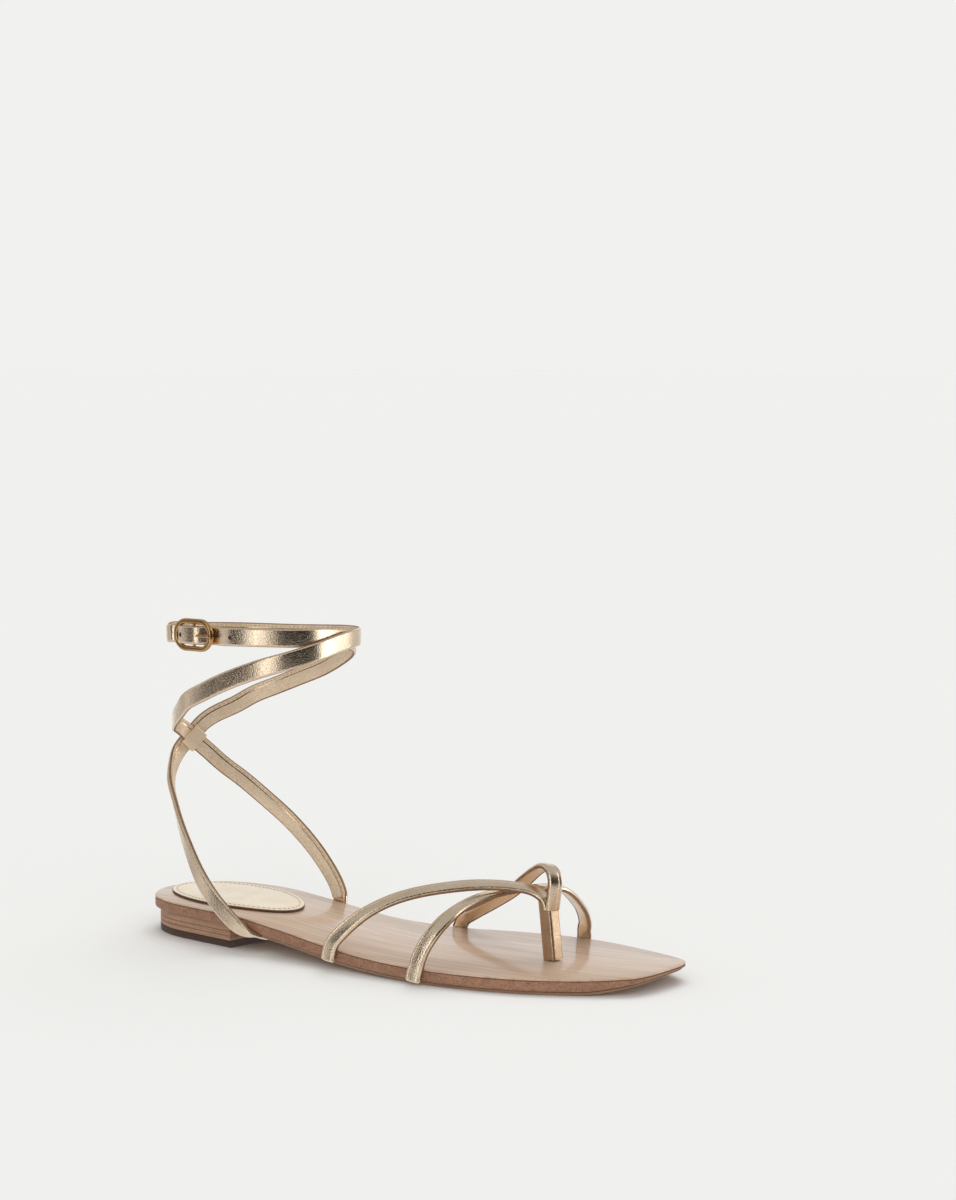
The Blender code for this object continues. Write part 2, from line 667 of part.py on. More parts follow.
def outer_path():
    """Centre line from the end folded under the buckle to the medial side of the sole."""
    bar = 0.5 * (BUCKLE_LENGTH - BUCKLE_BAR)
    under_bar = 0.5 * (BUCKLE_DEPTH + WRAP_THICK) + BAR_GAP
    under_centre = CENTRE_DROP + 0.5 * (CENTRE_BAR + WRAP_THICK) + SEAT_GAP
    rows = [buckle_row(FOLD_END, -under_centre), buckle_row(FOLD_MIDDLE, -under_centre),
            buckle_row(-bar, -under_bar), buckle_row(-1.35 * bar, -0.5 * under_bar)]
    rows += [ring_row(*row) for row in OUTER_WRAP]
    rows += [leg_row(*row) for row in OUTER_TO_MEDIAL_LEG]
    rows += landing("medial", MEDIAL_LEG_FOOT_X, SLING_THICK, LEG_LEAN)[::-1]
    return spline(rows)


def inner_path():
    """Centre line from the tail in the buckle to the lateral side of the sole."""
    bar = 0.5 * (BUCKLE_LENGTH - BUCKLE_BAR)
    under_bar = 0.5 * (BUCKLE_DEPTH + WRAP_THICK) + BAR_GAP
    over_centre = 0.5 * (CENTRE_BAR + WRAP_THICK) + SEAT_GAP - CENTRE_DROP
    rows = [buckle_row(TAIL_END, 0.7 * over_centre), buckle_row(0.5 * TAIL_END, over_centre),
            buckle_row(0.0, over_centre), buckle_row(PRONG_HOLE, 0.6 * over_centre),
            buckle_row(0.78 * bar, -0.9 * under_bar), buckle_row(1.05 * bar, -1.05 * under_bar),
            buckle_row(1.4 * bar, -0.8 * under_bar)]
    rows += [ring_row(*row) for row in INNER_WRAP]
    rows += [leg_row(*row) for row in INNER_TO_LATERAL_LEG]
    rows += LATERAL_TUCK
    return spline(rows)


def wrap_widths(rows, widens):
    """Sling width low down, wrap width higher up, with an even change between."""
    t = np.clip((rows[:, 2] - widens[0]) / (widens[1] - widens[0]), 0.0, 1.0)
    return SLING_WIDTH + (WRAP_WIDTH - SLING_WIDTH) * t


def wrap_thicks(rows, thins=None):
    """Wrap thickness high up, sling thickness low down, thin again below thins."""
    t = np.clip((SLING_THICKENS[0] - rows[:, 2]) / (SLING_THICKENS[0] - SLING_THICKENS[1]), 0, 1)
    if thins:
        t = t * np.clip((rows[:, 2] - thins[1]) / (thins[0] - thins[1]), 0, 1)
    return WRAP_THICK + (SLING_THICK - WRAP_THICK) * t


def punch(along, out_from, out_to):
    """Round cutter for one hole of the tail."""
    rows = np.array([buckle_row(along, out) for out in (out_from, out_to)])
    rows[:, 3:6] = (0.0, 0.0, 1.0)
    return sweep("punch", rows, round_section(HOLE_POINTS), HOLE_DIAMETER, HOLE_DIAMETER,
                 "gold_leather")


def build_ankle():
    outer = outer_path()
    rows = resample(outer, WRAP_STEP, BUCKLE_RUN)
    band = sweep("ankle_straps", rows, FLAT, wrap_widths(rows, OUTER_WIDENS),
                 wrap_thicks(rows), "gold_leather")
    rows = resample(inner_path(), WRAP_STEP, BUCKLE_RUN)
    tuck = resample(inner_path(), TUCK_STEP)
    tuck = tuck[tuck[:, 2] < TUCK_BELOW_Z]
    rows = np.vstack([rows[rows[:, 2] > TUCK_BELOW_Z + TUCK_STEP], tuck])
    other = sweep("other", rows, FLAT, wrap_widths(rows, INNER_WIDENS),
                  wrap_thicks(rows, LATERAL_THINS), "gold_leather")
    end = np.vstack([rows[-TUCK_ROWS:], rows[-1:]])
    end[-1, :3] += (rows[-1] - rows[-2])[:3]
    room = sweep("room", end, FLAT, SLING_WIDTH + TUCK_MARGIN, WRAP_THICK + TUCK_MARGIN,
                 "gold_leather")
    outsole = next(obj for obj in made if obj.name == "outsole")
    apply_boolean(outsole, [room], "DIFFERENCE")
    apply_boolean(band, [other], "UNION")
    cutters = []
    for k, low in enumerate(PUNCH_IN):
        cutters.append(punch(PRONG_HOLE + (k - 1) * HOLE_PITCH, low, PUNCH_OUT))
    made.append(apply_boolean(band, cutters, "DIFFERENCE"))
    build_keeper(outer)


def build_keeper(outer):
    """Channel round the inner face and both edges of the wrap, over the crossing."""
    run = arc_length(outer)
    middle = run[int(np.argmin(np.linalg.norm(outer[:, :3] - np.array(KEEPER_AT), axis=1)))]
    ends = (middle - 0.5 * KEEPER_LENGTH, middle + 0.5 * KEEPER_LENGTH)
    rows = at_lengths(outer, np.linspace(*ends, KEEPER_ROWS))
    inside = 0.5 * SLING_WIDTH + KEEPER_GAP
    outside = inside + KEEPER_WALL
    floor = -0.5 * WRAP_THICK - KEEPER_GAP
    under = floor - KEEPER_WALL
    section = (
        (-outside, under + KEEPER_BEVEL), (-outside + KEEPER_BEVEL, under),
        (outside - KEEPER_BEVEL, under), (outside, under + KEEPER_BEVEL),
        (outside, KEEPER_LIP), (inside, KEEPER_LIP), (inside, floor),
        (-inside, floor), (-inside, KEEPER_LIP), (-outside, KEEPER_LIP),
    )
    made.append(sweep("keeper", rows, section, 1.0, 1.0, "gold_leather"))


def build_buckle():
    half_length = 0.5 * (BUCKLE_LENGTH - BUCKLE_BAR)
    half_height = 0.5 * (BUCKLE_HEIGHT - BUCKLE_BAR)
    side, top = half_height - BUCKLE_CORNER, half_length - BUCKLE_CORNER
    corners = np.array([
        (half_length, -side), (half_length, side), (top, half_height), (-top, half_height),
        (-half_length, side), (-half_length, -side), (-top, -half_height), (top, -half_height),
    ])
    loop = []
    for k, corner in enumerate(corners):
        toward = [corners[k - 1] - corner, corners[(k + 1) % len(corners)] - corner]
        ends = [corner + BUCKLE_ROUND * way / np.linalg.norm(way) for way in toward]
        middle = 0.5 * corner + 0.25 * (ends[0] + ends[1])
        loop += [buckle_row(u, 0.0, v) for u, v in (ends[0], middle, ends[1])]
    frame = sweep("buckle_frame", loop, round_section(BAR_SIDES), BUCKLE_BAR, BUCKLE_DEPTH,
                  "brass", closed=True)
    ends = [buckle_row(0.0, -CENTRE_DROP, v) for v in (-half_height, half_height)]
    bar = sweep("bar", ends, round_section(BAR_SIDES), CENTRE_BAR, CENTRE_BAR, "brass")
    made.append(apply_boolean(frame, [bar], "UNION"))
    rest = 0.5 * (BUCKLE_DEPTH + PRONG_BAR) + SEAT_GAP
    pivot = 0.5 * (CENTRE_BAR + PRONG_BAR) + SEAT_GAP
    low, high = PRONG_PIVOT_OUT, PRONG_ARCH
    rows = [buckle_row(pivot, low), buckle_row(0.5 * (pivot + PRONG_HOLE), low),
            buckle_row(PRONG_HOLE - 0.2, low + 0.6), buckle_row(PRONG_HOLE, 0.5 * (low + high)),
            buckle_row(PRONG_HOLE + 0.2, high - 0.5), buckle_row(PRONG_HOLE + 1.4, high),
            buckle_row(0.7 * half_length, high - 0.1), buckle_row(half_length, rest),
            buckle_row(half_length + 1.0, rest - 0.1)]
    rows = np.array(rows)
    rows[:, 3:6] = (0.0, 0.0, 1.0)
    made.append(sweep("buckle_prong", resample(spline(rows), PRONG_STEP),
                      round_section(BAR_SIDES), PRONG_BAR, PRONG_BAR, "brass"))


def finish():
    low = np.full(3, np.inf)
    high = -low
    for obj in made:
        points = np.array([tuple(v.co) for v in obj.data.vertices])
        low = np.minimum(low, points.min(axis=0))
        high = np.maximum(high, points.max(axis=0))
    shift = -0.5 * (low + high)
    shift[2] = -low[2]
    for obj in made:
        for v in obj.data.vertices:
            v.co += v.co.__class__(shift)
        obj.data.update()
    print("size", (high - low).round(4).tolist(), "shift", shift.round(5).tolist())
    for obj in made:
        print(obj.name, sum(len(p.vertices) - 2 for p in obj.data.polygons))


clear_scene()
build_sole()
build_heel()
build_pad()
build_forefoot()
build_ankle()
build_buckle()
finish()
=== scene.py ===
"""Looks for the flat ankle-wrap sandal: fine meshes, materials, light and camera.

Lengths are in millimetres in the sandal's own frame, as in the CAD: the back of the heel at
x = 0, the toe toward +X, the medial side toward +Y and the ground at z = 0.
"""
import math

import bmesh
import bpy
import numpy as np
from mathutils import Matrix, Vector


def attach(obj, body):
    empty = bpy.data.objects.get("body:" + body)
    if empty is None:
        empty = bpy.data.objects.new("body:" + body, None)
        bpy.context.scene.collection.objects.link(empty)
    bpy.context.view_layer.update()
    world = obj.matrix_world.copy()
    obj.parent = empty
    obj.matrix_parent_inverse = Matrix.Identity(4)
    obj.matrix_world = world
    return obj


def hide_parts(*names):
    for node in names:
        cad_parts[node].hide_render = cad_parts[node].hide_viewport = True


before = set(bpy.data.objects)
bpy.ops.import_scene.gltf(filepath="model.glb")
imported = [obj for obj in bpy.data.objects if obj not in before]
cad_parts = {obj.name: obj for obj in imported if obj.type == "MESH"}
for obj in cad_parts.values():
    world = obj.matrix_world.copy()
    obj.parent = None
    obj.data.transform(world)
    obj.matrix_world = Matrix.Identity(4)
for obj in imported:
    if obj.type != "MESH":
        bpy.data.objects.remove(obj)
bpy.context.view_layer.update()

MM = 0.001
SHIFT = np.array([-126.35, 1.76, 0.0])
UPWARD = (0.0, 0.0, 1.0)

# Clearance between pieces that lie against each other
SEAT_GAP = 0.25
LANDING_GAP = 0.5

# Sole layers, thicknesses and insets from the outline
FOOTBED_THICK = 0.8
BOARD_THICK = 4.2
OUTSOLE_THICK = 1.3
OUTSOLE_INSET = 1.3
OUTSOLE_BEVEL = 0.4
SOLE_STACK = FOOTBED_THICK + BOARD_THICK + OUTSOLE_THICK + 2 * SEAT_GAP

# Heel: straight breast, three leather lifts on one rubber top piece
BREAST_LATERAL_X = 56.0
BREAST_MEDIAL_X = 70.0
BREAST_GAP = 0.6
HEEL_INSET = 2.3
TOP_PIECE_THICK = 3.0
LIFT_COUNT = 3
LIFT_GAP = 0.15

# Plan of the sole edge, from the back of the heel along the lateral side to the toe
# and back along the medial side: x, y
SOLE_EDGE = (
    (-0.6, -0.6), (4.0, -15.3), (16.6, -24.2), (38.0, -29.0), (68.0, -33.8), (103.0, -38.0),
    (131.0, -42.0), (159.0, -44.0), (183.0, -42.4), (203.0, -38.0), (220.0, -31.4),
    (233.5, -24.6), (242.0, -19.2), (246.2, -16.0), (248.7, -11.6), (251.0, -3.6),
    (252.6, 6.0), (253.2, 14.2), (251.3, 19.8), (243.0, 25.8), (228.0, 32.8),
    (208.0, 38.6), (186.0, 40.4), (163.0, 36.4), (136.0, 26.8), (103.0, 20.0),
    (68.0, 22.0), (38.0, 27.0), (16.8, 24.2), (4.6, 14.8),
)
TOE_MID = (251.9, 1.0)

# Height of the footbed's upper face along the sole: x, z
FOOTBED_PROFILE = (
    (-1.0, 16.0), (35.0, 15.9), (60.0, 15.6), (84.0, 13.4), (112.0, 9.8), (135.0, 7.9),
    (156.0, 7.1), (176.0, 6.8), (208.0, 6.8), (230.0, 7.1), (256.0, 8.4),
)

# Heel pad: an ellipse on the footbed, turned with the heel
PAD_CENTRE = (40.6, -2.8)
PAD_HALF_LENGTH = 36.4
PAD_HALF_WIDTH = 20.0
PAD_TURN = math.radians(-9.0)
PAD_THICK = 1.3

# Strap sections
FORE_WIDTH = 6.3
FORE_FOOT_WIDTH = 6.9
FORE_NARROWS_OVER = 24.0
FORE_THICK = 2.5
SLING_WIDTH = 7.4
SLING_THICK = 2.3
WRAP_WIDTH = 7.9
WRAP_THICK = 1.7
OUTER_WIDENS = (92.0, 114.0)
INNER_WIDENS = (84.0, 98.0)
SLING_THICKENS = (76.0, 66.0)
LATERAL_THINS = (30.0, 20.0)
POST_SIDE = 6.2
POST_TURN = math.radians(-10.0)

# Forefoot straps, in order from the sole edge: centre x, y, z and the outward direction
REAR_LATERAL_STRAP = (
    (118.4, -42.0, 13.0, 0.0, -1.0, 0.2), (123.0, -41.3, 17.9, 0.0, -0.9, 0.4),
    (128.0, -39.6, 22.5, -0.1, -0.8, 0.5), (133.6, -36.7, 26.8, -0.2, -0.7, 0.7),
    (141.8, -32.0, 31.3, -0.2, -0.6, 0.8), (151.8, -26.0, 34.6, -0.1, -0.5, 0.9),
    (167.4, -16.4, 37.1, 0.0, -0.4, 0.9), (177.4, -11.2, 37.5, 0.0, -0.3, 0.9),
    (186.6, -6.6, 36.8, 0.1, -0.2, 0.9), (193.6, -3.8, 35.3, 0.4, -0.2, 0.9),
    (198.2, -2.8, 31.8, 0.9, 0.0, 0.4), (199.4, -2.4, 27.5, 1.0, 0.0, 0.0),
)
FRONT_STRAP = (
    (162.4, -45.5, 11.0, 0.0, -1.0, 0.1), (164.6, -44.6, 16.4, 0.0, -1.0, 0.2),
    (168.2, -42.0, 22.8, 0.0, -0.9, 0.4), (170.8, -36.8, 27.5, 0.0, -0.75, 0.6),
    (172.4, -27.5, 30.7, -0.1, -0.6, 0.8), (174.9, -17.5, 32.8, -0.1, -0.4, 0.9),
    (178.5, -9.4, 33.9, -0.1, -0.2, 1.0), (183.6, -4.0, 34.8, 0.0, 0.0, 1.0),
    (189.7, -0.6, 35.5, 0.1, 0.1, 1.0), (194.6, 3.8, 35.4, 0.2, 0.1, 1.0),
    (196.7, 10.8, 34.4, 0.2, 0.3, 1.0), (197.2, 18.4, 30.8, 0.2, 0.6, 0.8),
    (196.4, 27.4, 25.0, 0.2, 0.75, 0.6), (195.2, 34.6, 19.6, 0.2, 0.9, 0.4),
    (193.6, 39.9, 13.4, 0.2, 1.0, 0.2), (192.2, 41.6, 10.0, 0.1, 1.0, 0.1),
)
REAR_MEDIAL_STRAP = (
    (140.0, 28.2, 11.8, 0.0, 1.0, 0.3), (146.6, 25.0, 15.6, -0.3, 0.8, 0.5),
    (158.6, 20.4, 22.0, -0.4, 0.7, 0.6), (171.6, 14.4, 29.4, -0.5, 0.6, 0.5),
    (182.0, 8.2, 36.8, -0.55, 0.65, 0.4), (190.4, 3.0, 42.6, -0.5, 0.5, 0.6),
    (196.6, -0.4, 45.5, 0.0, 0.2, 1.0), (201.4, -2.8, 44.4, 0.8, -0.3, 0.6),
    (203.2, -3.8, 40.4, 1.0, -0.6, 0.1), (202.6, -3.6, 34.5, 1.0, -0.6, 0.0),
    (201.4, -3.0, 27.5, 1.0, -0.5, 0.0),
)
REAR_LATERAL_FOOT_X = 115.4
FRONT_LATERAL_FOOT_X = 160.1
REAR_MEDIAL_FOOT_X = 136.2
FRONT_MEDIAL_FOOT_X = 191.6
STRAP_TUCK = 0.3
EDGE_REACH = 2.0
LANDING_RISE = 1.2
FORE_LEAN = 1.6
FRONT_MEDIAL_LEAN = 0.4
LEG_LEAN = -0.3
POST_GAP = 0.45
POST_FOOT = (201.3, -2.1)
POST_HEAD = (198.6, -2.2, 33.4)

# Ankle wrap: a rounded ring, a little larger at the top than at the keeper: z, x, y, half
# length and half width
RING_LOW = (90.0, 56.0, -1.5, 37.5, 29.5)
RING_TOP = (125.0, 53.9, -2.0, 40.7, 31.0)
RING_POWER = 3.2
LAYER_STEP = 1.1

# Run of the outer wrap from the buckle round the back, the medial side and the front,
# then down the lateral side, and of the inner wrap from the buckle round the front and
# down the medial side: angle, z, layer; angle 0 is the front and -90 the lateral side
OUTER_WRAP = (
    (-139.0, 135.6, 0.0), (-166.0, 134.8, 0.0), (-185.0, 133.4, 0.0), (-200.0, 132.4, 0.0),
    (-220.0, 131.7, 0.0), (-234.0, 131.6, 0.0), (-268.0, 132.0, 0.0), (-296.0, 132.7, 0.3),
    (-311.0, 133.2, 0.8), (-330.0, 133.7, 1.0), (-347.0, 133.7, 1.0), (-358.0, 133.0, 1.0),
    (-370.0, 131.9, 1.0), (-382.0, 130.3, 1.0), (-396.0, 127.5, 0.8), (-412.0, 124.1, 0.3),
    (-432.0, 119.8, 0.0), (-452.0, 115.6, 0.0), (-472.0, 110.7, 0.0), (-486.0, 106.7, 0.0),
)
INNER_WRAP = (
    (-76.0, 136.4, 0.0), (-56.0, 136.7, -0.3), (-36.0, 136.5, -0.8), (-22.0, 136.2, -1.0),
    (-10.0, 135.7, -1.0), (4.0, 134.6, -1.0), (16.0, 132.9, -1.0), (28.0, 130.4, -1.0),
    (41.0, 127.0, -0.8), (52.0, 123.3, -0.3), (70.0, 117.5, 0.0), (93.0, 112.6, 0.0),
    (115.0, 107.8, 0.0), (133.0, 103.2, 0.0),
)

# Sling legs below the wraps, from the back of the ankle down to the sole edge: x, y, z and
# the direction that the outer face looks in, 90 medial, 180 backward and 270 lateral
OUTER_TO_MEDIAL_LEG = (
    (28.8, -27.4, 102.6, 237.0), (21.6, -22.2, 97.6, 228.0), (15.6, -15.4, 94.0, 213.0),
    (10.3, -6.2, 91.7, 190.0), (9.3, -1.6, 89.8, 170.0), (10.0, 1.8, 87.4, 150.0),
    (11.7, 4.0, 84.5, 143.0), (13.4, 6.4, 81.6, 143.0), (15.4, 9.0, 78.9, 142.0),
    (18.0, 11.6, 75.2, 141.0), (21.9, 15.4, 70.4, 138.0), (26.1, 20.0, 65.6, 132.0),
    (35.5, 24.5, 57.0, 122.0), (47.0, 28.4, 46.8, 110.0), (59.8, 27.5, 36.8, 102.0),
    (69.6, 25.6, 27.8, 97.0), (75.6, 23.8, 21.2, 94.0), (78.4, 22.6, 16.4, 92.0),
)
INNER_TO_LATERAL_LEG = (
    (22.7, 20.9, 98.4, 137.0), (16.6, 14.8, 94.9, 141.0), (13.0, 8.4, 90.9, 144.0),
    (10.3, 4.6, 85.7, 143.0), (8.0, 1.6, 82.0, 145.0), (6.9, -1.2, 79.0, 158.0),
    (7.8, -5.0, 75.8, 180.0), (9.9, -9.6, 72.5, 190.0), (12.4, -13.8, 69.2, 197.0),
    (14.8, -16.9, 66.0, 201.0), (20.2, -21.0, 59.3, 209.0), (26.1, -25.0, 50.8, 220.0),
    (33.7, -28.8, 40.4, 235.0), (40.6, -31.5, 31.4, 248.0), (47.6, -33.2, 24.0, 262.0),
    (54.4, -34.1, 18.0, 270.0), (60.4, -35.0, 13.8, 272.0),
)
MEDIAL_LEG_FOOT_X = 78.8

# End of the lateral leg, turning under the edge of the board in front of the heel
LATERAL_TUCK = (
    (65.4, -35.4, 10.9, 0.0, -0.93, -0.36), (69.6, -34.1, 8.6, 0.0, -0.55, -0.84),
    (73.8, -30.6, 7.5, 0.0, -0.05, -1.0), (78.0, -27.0, 7.2, 0.0, 0.0, -1.0),
)

# Keeper over the inside of the crossing
KEEPER_AT = (11.7, 4.0, 84.5)
KEEPER_LENGTH = 6.8
KEEPER_WALL = 0.9
KEEPER_LIP = 0.0
KEEPER_GAP = 0.4

# Buckle on the top wrap, near the back of the lateral side
BUCKLE_ANGLE = -114.0
BUCKLE_Z = 136.1
BUCKLE_LENGTH = 21.5
BUCKLE_HEIGHT = 14.2
BUCKLE_BAR = 1.8
BUCKLE_DEPTH = 2.4
CENTRE_BAR = 1.5
CENTRE_DROP = 0.5
BAR_GAP = 0.4
PRONG_BAR = 1.1
HOLE_DIAMETER = 1.9
HOLE_PITCH = 8.6
PRONG_HOLE = 3.0
TAIL_END = -7.6
FOLD_END = 1.5
FOLD_MIDDLE = -3.0
PRONG_PIVOT_OUT = -0.8
PRONG_ARCH = 2.3
BAR_AT = 0.5 * (BUCKLE_LENGTH - BUCKLE_BAR)
UNDER_BAR = 0.5 * (BUCKLE_DEPTH + WRAP_THICK) + BAR_GAP
# Both straps at the frame's bars, as shares of BAR_AT along and UNDER_BAR outward, and the
# tail over the centre bar, as its place along and its share of the full rise
OUTER_AT_BAR = ((-1.0, -1.0), (-1.35, -0.5))
INNER_AT_BAR = ((0.78, -0.9), (1.05, -1.05), (1.4, -0.8))
TAIL_OVER_CENTRE = ((TAIL_END, 0.7), (0.5 * TAIL_END, 1.0), (0.0, 1.0), (PRONG_HOLE, 0.6))

# Mesh fineness
FORE_STEP = 0.8
WRAP_STEP = 1.2
BUCKLE_STEP = 0.5
BUCKLE_RUN = 24.0
SOLE_STATIONS = 150
HEEL_STATIONS = 70
PAD_STATIONS = 60
PAD_END_GAP = 0.02
SHORTEST_STEP = 1e-6
CROWDING = 0.35
END_GAP = 0.25
INNER_FACE_STEPS = 6
OUTER_FACE_POINTS = 13
ROD_SIDES = 20
PRONG_SIDES = 16
PRONG_STEP = 0.3
POST_SIDES = 48
POST_STEP = 1.0
STITCH_SIDES = 6
STITCH_RINGS = 5
PAD_LOOP_POINTS = 721
KEEPER_STATIONS = 25
KEEPER_CORNER_POINTS = 6
FRAME_CORNER_POINTS = 7

# Skived toe: where it starts, where it is thinnest, how the thinning grows, and the losses
TOE_THINS_FROM = 230.0
TOE_THINNEST = 253.0
TOE_POWER = 1.3
BOARD_THINS = 3.5
OUTSOLE_THINS = 0.8

# Edges of the sole's layers, from the underside up: inset, share of the way from the
# underside to the top, and rise above that
FOOTBED_ROWS = (
    (0.25, 0.0, 0.0), (0.0, 0.0, 0.15), (0.0, 1.0, -0.32), (0.1, 1.0, -0.1), (0.34, 1.0, 0.0),
)
BOARD_ROWS = (
    (0.9, 0.0, 0.0), (0.3, 0.03, 0.0), (0.08, 0.12, 0.0), (0.0, 0.29, 0.0), (0.0, 0.79, 0.0),
    (0.08, 0.94, 0.0), (0.3, 1.0, 0.0),
)
OUTSOLE_ROWS = (
    (OUTSOLE_INSET + OUTSOLE_BEVEL, 0.0, 0.0), (OUTSOLE_INSET, 0.3, 0.0),
    (OUTSOLE_INSET, 0.85, 0.0), (OUTSOLE_INSET + 0.15, 1.0, 0.0),
)
TOP_PIECE_ROWS = (
    (0.45, 0.0, 0.0), (0.1, 0.0, 0.12), (0.0, 0.0, 0.45), (0.0, 1.0, -0.15), (0.12, 1.0, 0.0),
)
LIFT_ROWS = (
    (0.14, 0.0, 0.0), (0.0, 0.0, 0.18), (0.03, 1.0, -0.9), (0.0, 1.0, -0.2), (0.14, 1.0, 0.0),
)
PAD_EDGE_ROWS = ((0.25, 0.0, 0.0), (0.0, 0.0, 0.2), (0.0, 0.0, 0.75), (0.3, 0.0, 0.9))
PAD_STITCH_INSET = 2.1
PAD_STITCH_RISE = 1.16
PAD_AHEAD = 0.5
PAD_TOP_ROWS = (
    (0.35, 0.0, 0.88), (0.18, 0.0, 1.0), (0.4, 0.0, 1.17), (PAD_STITCH_INSET - 0.7, 0.0, 1.26),
    (PAD_STITCH_INSET, 0.0, 1.1), (PAD_STITCH_INSET + 0.7, 0.0, 1.28),
    (PAD_STITCH_INSET + 3.0, 1.0, 0.0),
)

# Stitches: length, pitch, share that tapers at each end, and width and height in two places
STITCH_LENGTH = 1.7
STITCH_PITCH = 2.3
STITCH_TAPER = 0.12
PAD_STITCH = (0.42, 0.34)
STRAP_STITCH = (0.4, 0.26)

# Strap sections: edge radius as a share of the width, steps in half an edge, crown of the
# outer face, and a pressed line in it as its place, depth and half width
FORE_SHAPE = (0.2, 4, 0.12, (-0.24, 0.16, 0.07))
WRAP_SHAPE = (0.10, 3, 0.04)

# Squareness of the post's and the buckle frame's sections
POST_POWER = 9.0
FRAME_POWER = 3.2

# Painted edge and lining strips, as shares of a strap's width and thickness
EDGE_SHAPE = (
    (0.45, -0.46), (0.492, -0.42), (0.507, -0.26), (0.509, -0.02), (0.48, 0.0), (0.44, -0.2),
)
LINING_EDGE = 0.20
LINING_STRIPS = (("lining", -0.44, LINING_EDGE), ("rim", LINING_EDGE + 0.07, 0.46))
STRIP_LEVELS = (-0.44, -0.53, -0.56)
STRIP_ROUND = 0.02
LINING_STITCH = (LINING_EDGE + 0.15, -0.54)

# Lengths along a strap: its rounded ends, and those without painted edge or lining
FORE_CAP = 0.8
WRAP_CAP = 0.7
PRONG_CAP = 0.5
CAP_CLOSES = 0.8
FORE_UNPAINTED = 4.0
WRAP_UNPAINTED = 6.0
OUTER_UNLINED = (12.0, 6.0)
INNER_UNLINED = (26.0, 12.0)

# Evening out of the wraps' turns: lengths left alone at both ends, length over which it sets
# in, and reach of the running mean for the place and for the facing
EASE_ENDS = (42.0, 14.0)
EASE_OVER = 12.0
EASE_PLACE = 2.5
EASE_FACING = 7.0

# Punched holes: steps from the prong's hole, and the punch's reach inward and outward; those
# that get a dark ring of painted shade, where the search for the strap starts, and the ring's
# levels
PUNCHES = ((-1.0, -0.6, 4.0), (0.0, -0.6, 4.0), (1.0, -5.0, 2.0), (2.0, -4.0, 4.0))
OPEN_HOLES = (-1.0, 1.0, 2.0)
HOLE_LOOK = 9.0
HOLE_RING = (-0.5, 0.07)

# Buckle frame as it looks, and the prong: its climb through the hole as (along, outward)
FRAME_BAR = 2.3
FRAME_CORNER = 3.3
FRAME_ROUND = 2.3
PRONG_CLIMB = ((-0.2, -0.2), (0.0, 0.8), (0.2, 1.8), (1.4, PRONG_ARCH))
PRONG_SETTLES_AT = 0.7
PRONG_SETTLES = 0.1
PRONG_TIP = 0.6
KEEPER_ROUND = 0.8

# Camera, as fitted to the sole's outline in the photo: lengths in mm, angles in radians
CAMERA_HEIGHT = 255.44
CAMERA_PITCH = 0.09334
SHOE_AT = (-140.31, 1161.88)
SHOE_TURN = -0.541
FOCAL_PIXELS = 2594.95
IMAGE_HEIGHT = 1200.0
SENSOR_WIDTH = 36.0
CLIP_START = 0.01

# Stage in metres and its colours; the suns' azimuth, elevation, strength and angle in degrees
STAGE_REACH = 40.0
STAGE_ROUGHNESS = 0.9
BACKDROP = (0.880, 0.880, 0.864)
FLOOR = (0.92, 0.92, 0.90)
SUNS = {"overhead": (105.0, 64.0, 1.02, 45.0), "front_fill": (-50.0, 35.0, 0.6, 70.0)}
FILL = 0.55

# Studio seen in the gold, at eye level as (azimuth in degrees, brightness), below and above
# it, and the heights of a direction between which those meet
STUDIO_ROUND = (
    (-180.0, 0.42), (-166.0, 0.52), (-150.0, 0.72), (-142.0, 0.62), (-136.0, 0.03),
    (-117.0, 0.03), (-111.0, 0.60), (-104.0, 2.00), (-90.0, 1.20), (-80.0, 0.25),
    (-70.0, 0.04), (-8.0, 0.03), (14.0, 0.06), (26.0, 0.55), (36.0, 2.60), (50.0, 2.40),
    (61.0, 0.62), (88.0, 0.62), (104.0, 0.95), (142.0, 0.95), (158.0, 0.70), (172.0, 0.46),
)
STUDIO_FLOOR = 0.72
STUDIO_TOP = 0.48
FLOOR_MEETS = (-0.20, -0.42)
TOP_MEETS = (0.34, 0.60)


# Curves

def spline(rows, closed=False, samples=14):
    """Centripetal Catmull-Rom curve through rows, as a dense polyline of all the columns."""
    rows = np.asarray(rows, dtype=float)
    if closed:
        rows = np.vstack([rows[-1], rows, rows[0], rows[1]])
    else:
        rows = np.vstack([2 * rows[0] - rows[1], rows, 2 * rows[-1] - rows[-2]])
    out = []
    for i in range(1, len(rows) - 2):
        near = rows[i - 1:i + 3]
        steps = np.linalg.norm(np.diff(near[:, :3], axis=0), axis=1)
        knots = np.concatenate([[0.0], np.cumsum(np.maximum(steps, SHORTEST_STEP) ** 0.5)])
        for t in np.linspace(knots[1], knots[2], samples, endpoint=False):
            points = near
            for spans in (((0, 1), (1, 2), (2, 3)), ((0, 2), (1, 3)), ((1, 2),)):
                shares = [(t - knots[a]) / (knots[b] - knots[a]) for a, b in spans]
                points = [p + s * (q - p) for p, q, s in zip(points, points[1:], shares)]
            out.append(points[0])
    out.append(rows[-2] if not closed else out[0])
    return np.array(out)


def unit(vectors):
    return vectors / np.linalg.norm(vectors, axis=1)[:, None]


def arc_length(rows):
    steps = np.linalg.norm(np.diff(rows[:, :3], axis=0), axis=1)
    return np.concatenate([[0.0], np.cumsum(steps)])


def at_lengths(rows, lengths):
    run = arc_length(rows)
    return np.column_stack([np.interp(lengths, run, rows[:, k]) for k in range(rows.shape[1])])


